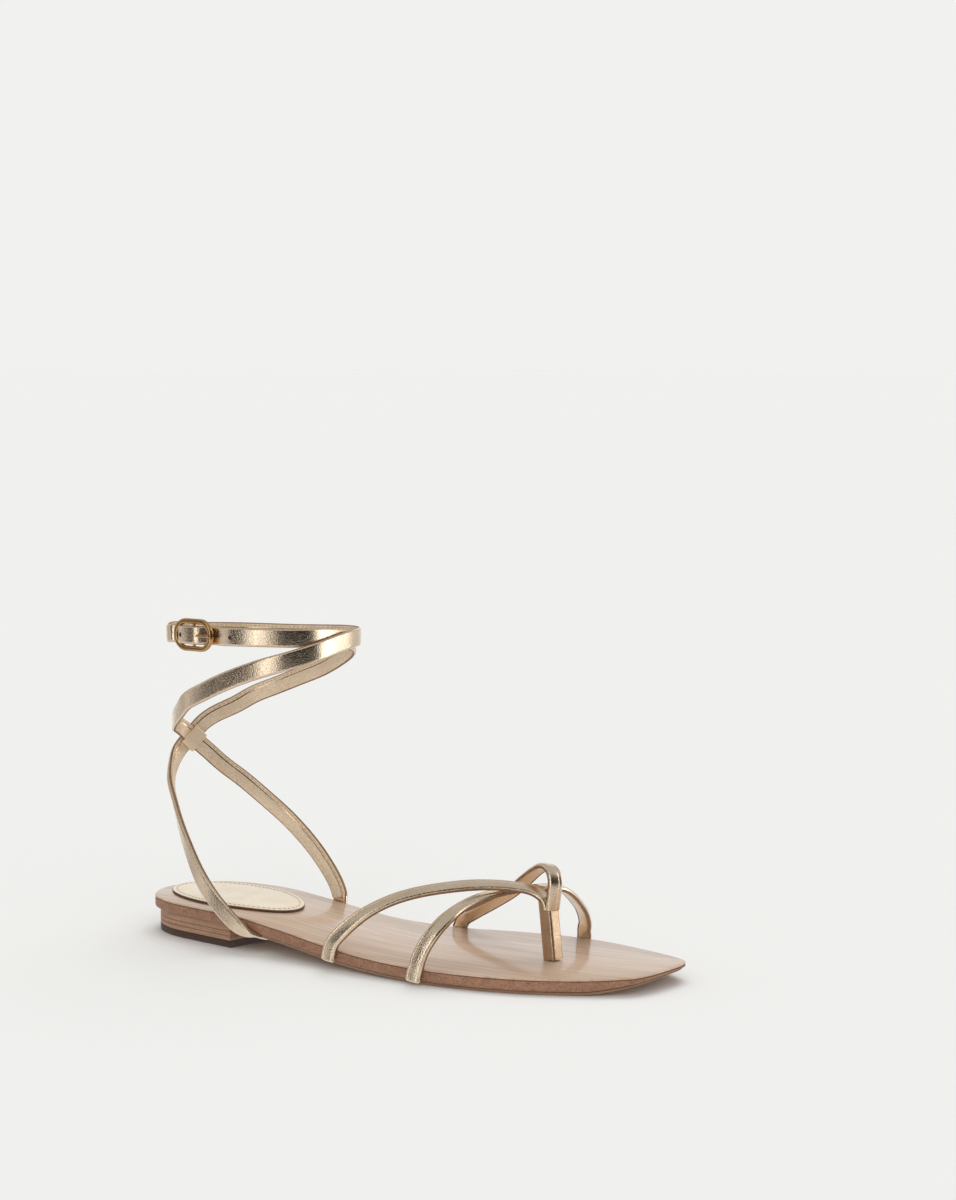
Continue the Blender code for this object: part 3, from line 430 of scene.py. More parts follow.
def resample(rows, step, fine_run=0.0):
    """Rows at even steps, with steps of BUCKLE_STEP over the first fine_run."""
    total = arc_length(rows)[-1]
    fine = np.arange(0.0, fine_run, BUCKLE_STEP)
    count = max(2, int(round((total - fine_run) / step)) + 1)
    return at_lengths(rows, np.concatenate([fine, np.linspace(fine_run, total, count)]))


def share_of(x, start, end):
    """Share of the way from start to end at x, held between 0 and 1."""
    return np.clip((x - start) / (end - start), 0.0, 1.0)


EDGE = spline(SOLE_EDGE, closed=True)
PROFILE = spline(FOOTBED_PROFILE)


def footbed_z(x):
    """Height of the footbed, never below the layers that lie flat on the ground."""
    return max(SOLE_STACK, float(np.interp(x, PROFILE[:, 0], PROFILE[:, 1])))


def edge_inset(inset):
    """Sole edge moved inward by inset."""
    along = np.roll(EDGE[:-1], -1, axis=0) - np.roll(EDGE[:-1], 1, axis=0)
    moved = EDGE[:-1] + unit(np.column_stack([-along[:, 1], along[:, 0]])) * inset
    return np.vstack([moved, moved[:1]])


def sole_halves(inset):
    """Lateral and medial halves of the edge, both from the heel to the toe."""
    loop = edge_inset(inset)
    toe = int(np.argmin(np.linalg.norm(loop - np.array(TOE_MID), axis=1)))
    return loop[:toe + 1], loop[toe:][::-1]


def cross(half, x):
    """Where a half passes x: the number of its next point and the place itself."""
    k = int(np.argmax(half[:, 0] >= x))
    p, q = half[k - 1], half[k]
    return k, p + (q - p) * (x - p[0]) / (q[0] - p[0])


def edge_point(side, x):
    """Point of the sole edge at x on one side, 'lateral' or 'medial'."""
    lateral, medial = sole_halves(0.0)
    return cross(lateral if side == "lateral" else medial, x)[1]


def clip(half, x_from, x_to):
    """Part of a half between two x values, with exact ends."""
    if x_from is not None:
        k, start = cross(half, x_from)
        half = np.vstack([start, half[k:]])
    if x_to is not None:
        k, end = cross(half, x_to)
        half = np.vstack([half[:k], end])
    return half


def ends_dense(count):
    """Values from 0 to 1 that crowd toward both ends."""
    u = np.linspace(0.0, 1.0, count)
    return (1.0 - CROWDING) * u + CROWDING * (0.5 - 0.5 * np.cos(math.pi * u))


def sole_ring(inset, x_from=(None, None), x_to=(None, None), count=SOLE_STATIONS):
    """Lateral and medial stations of one layer, joined across in pairs.

    x_from and x_to hold one limit for the lateral half and one for the medial half.
    """
    pair = []
    for half, first, last in zip(sole_halves(inset), x_from, x_to):
        half = clip(half, first, last)
        run = arc_length(half)[-1]
        start = END_GAP if first is None else 0.0
        end = END_GAP if last is None else 0.0
        lengths = start + ends_dense(count) * (run - start - end)
        pair.append(at_lengths(half, lengths))
    return pair


def pad_place(u, v):
    """Plan of points that are given along and across the pad from its centre."""
    c, s = math.cos(PAD_TURN), math.sin(PAD_TURN)
    return np.column_stack([PAD_CENTRE[0] + u * c - v * s, PAD_CENTRE[1] + u * s + v * c])


def pad_ring(inset):
    """Lateral and medial stations round the pad."""
    turn = np.linspace(PAD_END_GAP, 1.0 - PAD_END_GAP, PAD_STATIONS) * math.pi
    u = -(PAD_HALF_LENGTH - inset) * np.cos(turn)
    v = (PAD_HALF_WIDTH - inset) * np.sin(turn)
    return pad_place(u, -v), pad_place(u, v)


def raised(height, by):
    """A height function of x, moved up."""
    return lambda x: height(x) + by


footbed_under = raised(footbed_z, -FOOTBED_THICK)
board_top = raised(footbed_under, -SEAT_GAP)
board_under = raised(board_top, -BOARD_THICK)


def landing(side, x, thick, lean):
    """Rows of a strap end that runs up outside the sole edge, from its underside."""
    sign = -1.0 if side == "lateral" else 1.0
    low = board_under(x) - STRAP_TUCK
    high = footbed_z(x) + LANDING_RISE
    rows = []
    for share in (0.0, 0.5, 1.0):
        at_x = x + lean * share ** 2
        before, after = edge_point(side, at_x - EDGE_REACH), edge_point(side, at_x + EDGE_REACH)
        face_x = -sign * (after - before)[1] / (after - before)[0]
        y = edge_point(side, at_x)[1] + sign * (LANDING_GAP + 0.5 * thick)
        rows.append((at_x, y, low + share * (high - low), face_x, sign, 0.0))
    return rows


def round_section(sides):
    turn = [2 * math.pi * k / sides for k in range(sides)]
    return tuple((0.5 * math.cos(t), 0.5 * math.sin(t)) for t in turn)


def square_section(side_points, power):
    turn = [2 * math.pi * (k + 0.5) / side_points for k in range(side_points)]
    out = []
    for t in turn:
        c, s = math.cos(t), math.sin(t)
        r = (abs(c) ** power + abs(s) ** power) ** (-1.0 / power)
        out.append((0.5 * r * c, 0.5 * r * s))
    return tuple(out)


def ring_row(angle, z, layer=0.0):
    """Point of the ankle ring with its outward direction."""
    t = share_of(z, RING_LOW[0], RING_TOP[0])
    x0, y0, long, wide = [a + t * (b - a) for a, b in zip(RING_LOW[1:], RING_TOP[1:])]
    c, s = math.cos(math.radians(angle)), math.sin(math.radians(angle))
    r = (abs(c / long) ** RING_POWER + abs(s / wide) ** RING_POWER) ** (-1.0 / RING_POWER)
    nx = math.copysign(abs(r * c / long) ** (RING_POWER - 1.0) / long, c)
    ny = math.copysign(abs(r * s / wide) ** (RING_POWER - 1.0) / wide, s)
    size = math.hypot(nx, ny)
    nx, ny = nx / size, ny / size
    shift = layer * LAYER_STEP
    return (x0 + r * c + nx * shift, y0 + r * s + ny * shift, z, nx, ny, 0.0)


def leg_row(x, y, z, facing):
    """Point of a sling leg with its outward direction."""
    facing = math.radians(facing)
    return (x, y, z, math.cos(facing), math.sin(facing), 0.0)


def buckle_row(along, out, up=0.0):
    """Point given along the strap toward the front, outward and upward from the buckle."""
    x, y, z, nx, ny, _ = ring_row(BUCKLE_ANGLE, BUCKLE_Z)
    return (x - ny * along + nx * out, y + nx * along + ny * out, z + up, nx, ny, 0.0)


def outer_path():
    """Centre line from the end folded under the buckle to the medial side of the sole."""
    under_centre = CENTRE_DROP + 0.5 * (CENTRE_BAR + WRAP_THICK) + SEAT_GAP
    rows = [buckle_row(along, -under_centre) for along in (FOLD_END, FOLD_MIDDLE)]
    rows += [buckle_row(along * BAR_AT, out * UNDER_BAR) for along, out in OUTER_AT_BAR]
    rows += [ring_row(*row) for row in OUTER_WRAP]
    rows += [leg_row(*row) for row in OUTER_TO_MEDIAL_LEG]
    rows += landing("medial", MEDIAL_LEG_FOOT_X, SLING_THICK, LEG_LEAN)[::-1]
    return spline(rows)


def inner_path():
    """Centre line from the tail in the buckle to the lateral side of the sole."""
    over_centre = 0.5 * (CENTRE_BAR + WRAP_THICK) + SEAT_GAP - CENTRE_DROP
    rows = [buckle_row(along, share * over_centre) for along, share in TAIL_OVER_CENTRE]
    rows += [buckle_row(along * BAR_AT, out * UNDER_BAR) for along, out in INNER_AT_BAR]
    rows += [ring_row(*row) for row in INNER_WRAP]
    rows += [leg_row(*row) for row in INNER_TO_LATERAL_LEG]
    rows += LATERAL_TUCK
    return spline(rows)


def wrap_widths(rows, widens):
    """Sling width low down, wrap width higher up, with an even change between."""
    return SLING_WIDTH + (WRAP_WIDTH - SLING_WIDTH) * share_of(rows[:, 2], *widens)


def wrap_thicks(rows, thins=None):
    """Wrap thickness high up, sling thickness low down, thin again below thins."""
    t = share_of(rows[:, 2], *SLING_THICKENS)
    if thins:
        t = t * share_of(rows[:, 2], *thins[::-1])
    return WRAP_THICK + (SLING_THICK - WRAP_THICK) * t


# Materials: noise scales are per metre, bump distances in metres

# Values of a noise between which one colour shades into the other
PATCHY = (0.35, 0.7)


class Graph:
    """Short names for building a node tree."""

    def __init__(self, tree):
        self.tree = tree

    def node(self, kind, inputs=None, **values):
        """New node with its own values, and with inputs that are set or linked."""
        made = self.tree.nodes.new(kind)
        for key, value in values.items():
            setattr(made, key, value)
        for key, value in (inputs or {}).items():
            self.put(value, made.inputs[key])
        return made

    def put(self, value, socket):
        if isinstance(value, bpy.types.NodeSocket):
            self.tree.links.new(value, socket)
        else:
            socket.default_value = value

    def ramp(self, value, low, high, to_low=0.0, to_high=1.0, kind="LINEAR"):
        return self.node("ShaderNodeMapRange", {
            "Value": value, "From Min": low, "From Max": high, "To Min": to_low,
            "To Max": to_high,
        }, interpolation_type=kind).outputs["Result"]

    def mix(self, share, a, b):
        """Colour between a and b; each is a colour of three numbers or a socket."""
        a, b = [(*value, 1.0) if isinstance(value, tuple) else value for value in (a, b)]
        inputs = {"Factor": share, 6: a, 7: b}
        return self.node("ShaderNodeMix", inputs, data_type="RGBA").outputs[2]


class Look(Graph):
    """A material on a Principled shader, with its textures fixed to the piece."""

    def __init__(self, name, colour, roughness, metallic=0.0):
        self.mat = bpy.data.materials.new(name)
        self.mat.use_nodes = True
        super().__init__(self.mat.node_tree)
        self.shader = self.tree.nodes["Principled BSDF"]
        self.shader.inputs["Base Color"].default_value = (*colour, 1.0)
        self.shader.inputs["Roughness"].default_value = roughness
        self.shader.inputs["Metallic"].default_value = metallic
        self.place = self.node("ShaderNodeTexCoord").outputs["Object"]
        self.height = None

    def stretched(self, scale, turn=0.0):
        return self.node("ShaderNodeMapping", {
            "Vector": self.place, "Scale": scale, "Rotation": (0.0, 0.0, turn),
        }).outputs["Vector"]

    def noise(self, scale, detail=3.0, rough=0.55, vector=None, distort=0.0):
        return self.node("ShaderNodeTexNoise", {
            "Vector": vector or self.place, "Scale": scale, "Detail": detail,
            "Roughness": rough, "Distortion": distort,
        }).outputs["Fac"]

    def colour(self, socket):
        self.put(socket, self.shader.inputs["Base Color"])

    def rough(self, value, low, high, to_low, to_high):
        self.put(self.ramp(value, low, high, to_low, to_high), self.shader.inputs["Roughness"])

    def bump(self, socket, strength, distance):
        inputs = {"Height": socket, "Strength": strength, "Distance": distance}
        if self.height:
            inputs["Normal"] = self.height
        self.height = self.node("ShaderNodeBump", inputs).outputs["Normal"]
        self.put(self.height, self.shader.inputs["Normal"])


def foil_leather(name, pale, deep, crinkle, rough=(0.10, 0.19), metallic=1.0, fleck=0.3):
    """Foil-coated leather: metallic, with a fine pebbled grain and slightly uneven tone."""
    n = Look(name, pale, 0.3, metallic)
    tone = n.noise(70.0, 4.0, 0.6)
    pebble = n.noise(1900.0, 2.0, 0.55, distort=0.3)
    base = n.mix(n.ramp(tone, *PATCHY), pale, deep)
    n.colour(n.mix(n.ramp(pebble, 0.48, 0.66, 0.0, fleck), base, tuple(0.6 * c for c in deep)))
    n.rough(pebble, 0.3, 0.75, *rough)
    n.bump(n.noise(330.0, 2.0, 0.5, distort=0.8), 0.03 * crinkle, 0.0004)
    n.bump(pebble, 0.34 * crinkle, 0.00020)
    return n.mat


def footbed_material():
    """Polished leather with a fine lengthwise grain."""
    n = Look("footbed_leather_fine", (0.38, 0.26, 0.175), 0.4)
    turn = math.radians(-4.0)
    long_grain = n.noise(1.0, 5.0, 0.65, n.stretched((18.0, 1100.0, 200.0), turn))
    broad = n.noise(1.0, 3.0, 0.5, n.stretched((9.0, 130.0, 60.0), turn))
    base = n.mix(n.ramp(broad, *PATCHY), (0.70, 0.515, 0.375), (0.61, 0.435, 0.305))
    n.colour(n.mix(n.ramp(long_grain, 0.44, 0.66, 0.0, 0.7), base, (0.42, 0.275, 0.18)))
    n.rough(long_grain, 0.3, 0.7, 0.34, 0.50)
    n.bump(long_grain, 0.10, 0.00015)
    n.bump(n.noise(1500.0, 2.0, 0.5), 0.06, 0.0001)
    n.shader.inputs["Coat Weight"].default_value = 0.6
    n.shader.inputs["Coat Roughness"].default_value = 0.13
    return n.mat


def board_material():
    """Leatherboard: brown, with dark and pale specks."""
    n = Look("board_leather_fine", (0.27, 0.13, 0.075), 0.5)
    speck = n.noise(1500.0, 3.0, 0.75)
    dark = n.noise(1100.0, 2.0, 0.6)
    patch = n.noise(160.0, 3.0, 0.55)
    base = n.mix(n.ramp(patch, *PATCHY), (0.385, 0.19, 0.108), (0.30, 0.14, 0.077))
    base = n.mix(n.ramp(dark, 0.52, 0.66, 0.0, 0.65), base, (0.10, 0.043, 0.024))
    n.colour(n.mix(n.ramp(speck, 0.50, 0.70, 0.0, 0.75), base, (0.58, 0.355, 0.235)))
    n.rough(speck, 0.3, 0.7, 0.42, 0.6)
    n.bump(speck, 0.25, 0.0002)
    return n.mat


def stacked_material(name, light, dark):
    """Cut edge of pressed leather: fine lines along it and small flecks."""
    n = Look(name, light, 0.55)
    lines = n.noise(1.0, 4.0, 0.65, n.stretched((60.0, 60.0, 2600.0)))
    fleck = n.noise(900.0, 3.0, 0.7)
    base = n.mix(n.ramp(lines, *PATCHY), light, dark)
    n.colour(n.mix(n.ramp(fleck, 0.5, 0.75, 0.0, 0.5), base, tuple(0.6 * c for c in dark)))
    n.rough(lines, 0.3, 0.7, 0.45, 0.62)
    n.bump(lines, 0.3, 0.00025)
    n.bump(fleck, 0.2, 0.00015)
    return n.mat


def plain_material(name, colour, dark, roughness, scale, depth=0.0001, metallic=0.0):
    """Slightly uneven colour and gloss, with a fine bump of the given depth."""
    n = Look(name, colour, roughness, metallic)
    tone = n.noise(scale, 4.0, 0.6)
    n.colour(n.mix(n.ramp(tone, *PATCHY), colour, dark))
    n.rough(tone, 0.3, 0.7, roughness - 0.06, roughness + 0.08)
    n.bump(n.noise(scale * 6.0, 3.0, 0.6), 0.2, depth)
    return n.mat


GOLD = foil_leather("gold_leather_fine", (0.92, 0.745, 0.555), (0.84, 0.66, 0.475), 1.6)
FORE_GOLD = foil_leather("fore_leather_fine", (0.95, 0.78, 0.59), (0.87, 0.69, 0.50), 1.6,
                         (0.15, 0.27))
# Toe post: the same gold leather as the forefoot straps, darkened and browned as painted shade
POST_GOLD_PAINTED_SHADE = foil_leather("post_leather_painted_shade_fine", (0.64, 0.465, 0.31), (0.50, 0.345, 0.215), 1.6,
                         (0.26, 0.40))
LINING = foil_leather("lining_fine", (0.96, 0.79, 0.59), (0.82, 0.64, 0.45), 3.2,
                      (0.34, 0.50), 0.35, 0.6)
SMOOTH_GOLD = foil_leather("keeper_fine", (0.96, 0.78, 0.58), (0.86, 0.68, 0.49), 0.8,
                           (0.34, 0.44), 0.35)
PAINTED_EDGE = plain_material("strap_edge_fine", (0.33, 0.19, 0.10), (0.22, 0.12, 0.06), 0.45,
                              400.0, metallic=0.3)
PAD = plain_material("pad_leather_fine", (0.92, 0.82, 0.645), (0.87, 0.75, 0.56), 0.30, 90.0)
# Dark brown edge of the pad, made darker still with painted shade for the shadow under the pad's
# edge
PAD_EDGE_AND_SHADE = plain_material("pad_edge_fine", (0.17, 0.085, 0.045), (0.10, 0.05, 0.028), 0.6,
                          300.0)
THREAD = plain_material("thread_fine", (0.66, 0.43, 0.21), (0.50, 0.31, 0.14), 0.5, 900.0)
FOOTBED = footbed_material()
BOARD = board_material()
LIFT = stacked_material("heel_leather_fine", (0.52, 0.31, 0.19), (0.33, 0.17, 0.095))
OUTSOLE = stacked_material("outsole_leather_fine", (0.42, 0.25, 0.15), (0.26, 0.135, 0.075))
RUBBER = plain_material("heel_rubber_fine", (0.074, 0.032, 0.018), (0.05, 0.022, 0.013), 0.5,
                        500.0)
# Near-black for painted shade: the inside of the punched holes
HOLE_SHADE = plain_material("punched_hole_shade_fine", (0.06, 0.035, 0.02), (0.03, 0.018, 0.01), 0.7,
                      900.0)
BRASS = plain_material("brass_fine", (0.70, 0.44, 0.20), (0.50, 0.29, 0.115), 0.24, 160.0,
                       0.00004, 1.0)


# Meshes

def metres(points):
    """Points of the sandal's own frame, in the shared frame."""
    return (np.asarray(points, dtype=float) + SHIFT) * MM


def mesh_of(name, points, faces):
    mesh = bpy.data.meshes.new(name)
    mesh.from_pydata(points.tolist(), [], faces)
    return mesh


def placed(name, data):
    """New object in the scene."""
    obj = bpy.data.objects.new(name, data)
    bpy.context.scene.collection.objects.link(obj)
    return obj


def new_object(name, points, faces, mat, nodes=(), smooth=40.0):
    """Piece on the root body from points in millimetres; faces meet smoothly up to smooth."""
    mesh = mesh_of(name, metres(points), faces)
    bm = bmesh.new()
    bm.from_mesh(mesh)
    bmesh.ops.recalc_face_normals(bm, faces=bm.faces)
    bm.to_mesh(mesh)
    bm.free()
    mesh.polygons.foreach_set("use_smooth", [True] * len(mesh.polygons))
    mesh.set_sharp_from_angle(angle=math.radians(smooth))
    obj = placed(name, mesh)
    mesh.materials.append(mat)
    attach(obj, "root")
    if nodes:
        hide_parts(*nodes)
    return obj


def side_faces(rings, size, base=0, closed=False):
    """Faces between rings of size points each, the first of which is point base."""
    faces = []
    for r in range(rings if closed else rings - 1):
        low, high = base + r * size, base + (r + 1) % rings * size
        for i in range(size):
            j = (i + 1) % size
            faces.append((low + i, low + j, high + j, high + i))
    return faces


def end_faces(rings, size, base=0):
    last = base + (rings - 1) * size
    return [tuple(range(base, base + size))[::-1], tuple(range(last, last + size))]


def slab(name, ring, under, top, profile, mat, nodes=(), smooth=50.0):
    """Closed layer of the sole between two heights that are functions of x.

    ring gives the lateral and medial stations at an inset, and profile has rows of inset,
    share of the way from under to top, and rise.
    """
    points = []
    for inset, share, rise in profile:
        lateral, medial = ring(inset)
        for x, y in np.vstack([lateral, medial[::-1]]):
            points.append((x, y, under(x) + share * (top(x) - under(x)) + rise))
    size = 2 * len(lateral)
    faces = side_faces(len(profile), size)
    last = (len(profile) - 1) * size
    for i in range(len(lateral) - 1):
        j = size - 1 - i
        faces.append((i, j, j - 1, i + 1))
        faces.append((last + i, last + i + 1, last + j - 1, last + j))
    return new_object(name, points, faces, mat, nodes, smooth)


def frame_of(rows, closed=False):
    """Centre points, unit directions along, facing and across for a strap."""
    rows = np.asarray(rows, dtype=float)
    centre = rows[:, :3]
    if closed:
        along = np.roll(centre, -1, axis=0) - np.roll(centre, 1, axis=0)
    else:
        along = np.gradient(centre, axis=0)
    along = unit(along)
    face = rows[:, 3:6]
    face = unit(face - along * np.einsum("ij,ij->i", face, along)[:, None])
    return centre, along, face, np.cross(along, face)


def tube(rows, section, widths, thicks, closed=False, cap_round=0.0):
    """Points and faces of a section swept along rows; ends are rounded over cap_round."""
    centre, along, face, across = frame_of(rows, closed)
    count, size = len(centre), len(section)
    widths = np.broadcast_to(widths, (count,))
    thicks = np.broadcast_to(thicks, (count,))
    run = arc_length(np.asarray(rows))
    points = []
    for k in range(count):
        near = min(run[k], run[-1] - run[k])
        grow = 1.0
        if near < cap_round:
            grow = math.sqrt(1.0 - CAP_CLOSES * (1.0 - near / cap_round) ** 2)
        width = widths[k] - (1.0 - grow) * thicks[k]
        for u, v in section:
            points.append(centre[k] + across[k] * (u * width) + face[k] * (v * thicks[k] * grow))
    faces = side_faces(count, size, closed=closed)
    if not closed:
        faces += end_faces(count, size)
    return points, faces


def sweep(name, rows, section, widths, thicks, mat, nodes=(), closed=False,
          cap_round=0.0, smooth=40.0):
    points, faces = tube(rows, section, widths, thicks, closed, cap_round)
    return new_object(name, points, faces, mat, nodes, smooth)


def rounded_section(across_round, sides, crown, groove=None):
    """Strap section with round edges: a flat inner face and a crowned outer face.

    across_round is the edge radius as a share of the width; groove is (u, depth, half width)
    pressed into the outer face. Returns points of (u, v), both in -0.5 .. 0.5.
    """
    flat = 0.5 - across_round

    def edge(centre, start):
        turns = [start + math.pi * k / (sides * 2) for k in range(1, sides * 2)]
        return [(centre + across_round * math.cos(t), 0.5 * math.sin(t)) for t in turns]

    steps = range(INNER_FACE_STEPS + 1)
    out = [(-flat + 2 * flat * k / INNER_FACE_STEPS, -0.5) for k in steps]
    out += edge(flat, -0.5 * math.pi)
    for u in np.linspace(flat, -flat, OUTER_FACE_POINTS):
        v = 0.5 + 4.0 * crown * (flat ** 2 - u ** 2)
        if groove:
            near = abs(u - groove[0]) / groove[2]
            v -= groove[1] * max(0.0, 1.0 - near ** 2)
        out.append((u, v))
    return out + edge(-flat, 0.5 * math.pi)


def thread(name, places, width, height, slot):
    """Row of stitches; places are (centre, along, up) in millimetres."""
    points, faces = [], []
    for centre, along, up in places:
        side = np.cross(along, up)
        faces += side_faces(STITCH_RINGS, STITCH_SIDES, len(points))
        faces += end_faces(STITCH_RINGS, STITCH_SIDES, len(points))
        for t in np.linspace(0.0, 1.0, STITCH_RINGS):
            s = math.sin(math.pi * (STITCH_TAPER + (1.0 - 2.0 * STITCH_TAPER) * t))
            for q in range(STITCH_SIDES):
                a = 2 * math.pi * q / STITCH_SIDES
                points.append(centre + along * (STITCH_LENGTH * (t - 0.5))
                              + side * (0.5 * width * s * math.cos(a))
                              + up * (height * s * (0.5 * math.sin(a) + 0.25)))
    return new_object(name, points, faces, THREAD)


# Sole

def toe_share(x):
    """How far the skived toe has thinned at station x, from 0 to 1."""
    return share_of(x, TOE_THINS_FROM, TOE_THINNEST) ** TOE_POWER


def thin_board_under(x):
    return board_under(x) + BOARD_THINS * toe_share(x)


thin_outsole_top = raised(thin_board_under, -SEAT_GAP)


def thin_outsole_under(x):
    return thin_outsole_top(x) - OUTSOLE_THICK + OUTSOLE_THINS * toe_share(x)


def build_sole():
    slab("footbed_top", sole_ring, footbed_under, footbed_z, FOOTBED_ROWS, FOOTBED,
         ("footbed",), 60.0)
    slab("board_edge", sole_ring, thin_board_under, board_top, BOARD_ROWS, BOARD,
         ("midsole_board",), 60.0)
    start = (BREAST_LATERAL_X + BREAST_GAP, BREAST_MEDIAL_X + BREAST_GAP)
    slab("outsole_edge", lambda inset: sole_ring(inset, start), thin_outsole_under,
         thin_outsole_top, OUTSOLE_ROWS, OUTSOLE, ("outsole",))


def build_heel():
    def ring(inset):
        breast = (BREAST_LATERAL_X, BREAST_MEDIAL_X)
        return sole_ring(HEEL_INSET + inset, x_to=breast, count=HEEL_STATIONS)

    def level(z):
        return lambda x: z

    slab("heel_top", ring, level(0.0), level(TOP_PIECE_THICK), TOP_PIECE_ROWS, RUBBER,
         ("heel_top_piece",))
    room = board_under(BREAST_MEDIAL_X) - SEAT_GAP - TOP_PIECE_THICK - LIFT_GAP
    pitch = room / LIFT_COUNT
    for k in range(LIFT_COUNT):
        low = TOP_PIECE_THICK + LIFT_GAP + k * pitch
        high = level(low + pitch - LIFT_GAP)
        if k == LIFT_COUNT - 1:
            high = raised(board_under, -SEAT_GAP)
        slab("heel_layer_%d" % (k + 1), ring, level(low), high, LIFT_ROWS, LIFT,
             ("heel_lift_%d" % (k + 1),))


def build_pad():
    seat = raised(footbed_z, SEAT_GAP)
    top = raised(seat, PAD_THICK)
    # Dark lower band of the pad's side: its dark brown edge plus painted shade for the shadow
    # under it
    slab("pad_edge", pad_ring, seat, top, PAD_EDGE_ROWS, PAD_EDGE_AND_SHADE)
    slab("pad_top", pad_ring, seat, top, PAD_TOP_ROWS, PAD, ("heel_pad",), 60.0)
    turn = np.linspace(0.0, 2 * math.pi, PAD_LOOP_POINTS)
    plan = pad_place((PAD_HALF_LENGTH - PAD_STITCH_INSET) * np.cos(turn),
                     (PAD_HALF_WIDTH - PAD_STITCH_INSET) * np.sin(turn))
    loop = np.column_stack([plan, [seat(x) + PAD_STITCH_RISE for x in plan[:, 0]]])
    run = arc_length(loop)[-1]
    lengths = np.linspace(0.0, run, int(run / STITCH_PITCH), endpoint=False)
    at = at_lengths(loop, lengths)
    ways = unit(at_lengths(loop, lengths + PAD_AHEAD) - at)
    places = [(p, way, np.array(UPWARD)) for p, way in zip(at, ways)]
    thread("pad_stitches", places, *PAD_STITCH, "pad_leather")


# Straps

FORE_SECTION = rounded_section(*FORE_SHAPE)
WRAP_SECTION = rounded_section(*WRAP_SHAPE)


def edge_strips(name, rows, widths, thicks, unpainted):
    """Dark painted edges on both sides of a strap, short of its ends."""
    run = arc_length(rows)
    inside = (run > unpainted) & (run < run[-1] - unpainted)
    thicks = np.broadcast_to(thicks, (len(rows),))[inside]
    for tag, side in (("low", 1.0), ("high", -1.0)):
        strip = [(side * u, v) for u, v in EDGE_SHAPE]
        sweep("%s_edge_%s" % (name, tag), rows[inside], strip, widths[inside], thicks,
              PAINTED_EDGE, smooth=50.0)


def build_forefoot():
    far_foot = landing("medial", FRONT_MEDIAL_FOOT_X, FORE_THICK, FRONT_MEDIAL_LEAN)[::-1]
    for name, table, side, foot_x, ends, foot_width, nodes in (
        ("strap_rear_lateral", REAR_LATERAL_STRAP, "lateral", REAR_LATERAL_FOOT_X, (),
         FORE_FOOT_WIDTH, ()),
        ("strap_front", FRONT_STRAP, "lateral", FRONT_LATERAL_FOOT_X, far_foot,
         FORE_FOOT_WIDTH, ("forefoot_straps",)),
        ("strap_rear_medial", REAR_MEDIAL_STRAP, "medial", REAR_MEDIAL_FOOT_X, (),
         FORE_WIDTH, ()),
    ):
        foot = landing(side, foot_x, FORE_THICK, FORE_LEAN)
        rows = resample(spline([*foot, *table, *ends]), FORE_STEP)
        narrowed = share_of(arc_length(rows), 0.0, FORE_NARROWS_OVER)
        widths = foot_width + (FORE_WIDTH - foot_width) * narrowed
        sweep(name, rows, FORE_SECTION, widths, FORE_THICK, FORE_GOLD, nodes,
              cap_round=FORE_CAP)
        edge_strips(name, rows, widths, FORE_THICK, FORE_UNPAINTED)
    x, y = POST_FOOT
    facing = (math.cos(POST_TURN), math.sin(POST_TURN), 0.0)
    rows = np.array([(x, y, footbed_z(x) + POST_GAP, *facing), (*POST_HEAD, *facing)])
    # The post's gold carries painted shade: it is darker than the straps it is made of
    sweep("toe_post", resample(rows, POST_STEP), square_section(POST_SIDES, POST_POWER),
          POST_SIDE, POST_SIDE, POST_GOLD_PAINTED_SHADE, smooth=50.0)


def eased(rows, start, end):
    """The same rows with their turns evened out, apart from both ends."""
    run = arc_length(rows)
    end = run[-1] - end
    share = share_of(run, start, start + EASE_OVER) * share_of(run, end, end - EASE_OVER)
    spread = np.gradient(run)
    out = rows.copy()
    for columns, reach in ((slice(0, 3), EASE_PLACE), (slice(3, 6), EASE_FACING)):
        weight = np.exp(-0.5 * ((run[None, :] - run[:, None]) / reach) ** 2) * spread[None, :]
        weight /= weight.sum(axis=1)[:, None]
        mean = weight @ rows[:, columns]
        out[:, columns] += share[:, None] * (mean - rows[:, columns])
    return out


def line_strap(name, rows, widths, thicks, side, start, end):
    """Lining on the inner face, short of the turned edge, and that edge's stitches."""
    run = arc_length(rows)
    inside = (run > start) & (run < run[-1] - end)
    base, shoulder, top = STRIP_LEVELS
    for tag, low, high in LINING_STRIPS:
        near, far = sorted((low * side, high * side))
        strip = [(near, base), (near, shoulder), (near + STRIP_ROUND, top),
                 (far - STRIP_ROUND, top), (far, shoulder), (far, base)]
        sweep("%s_%s" % (name, tag), rows[inside], strip, widths[inside], thicks[inside],
              LINING, smooth=30.0)
    lengths = np.arange(start, run[-1] - end, STITCH_PITCH)
    centre, along, face, across = frame_of(at_lengths(rows, lengths))
    u = LINING_STITCH[0] * side * np.interp(lengths, run, widths)[:, None]
    v = LINING_STITCH[1] * np.interp(lengths, run, thicks)[:, None]
    places = zip(centre + across * u + face * v, along, -face)
    thread(name + "_stitches", places, *STRAP_STITCH, "gold_leather")


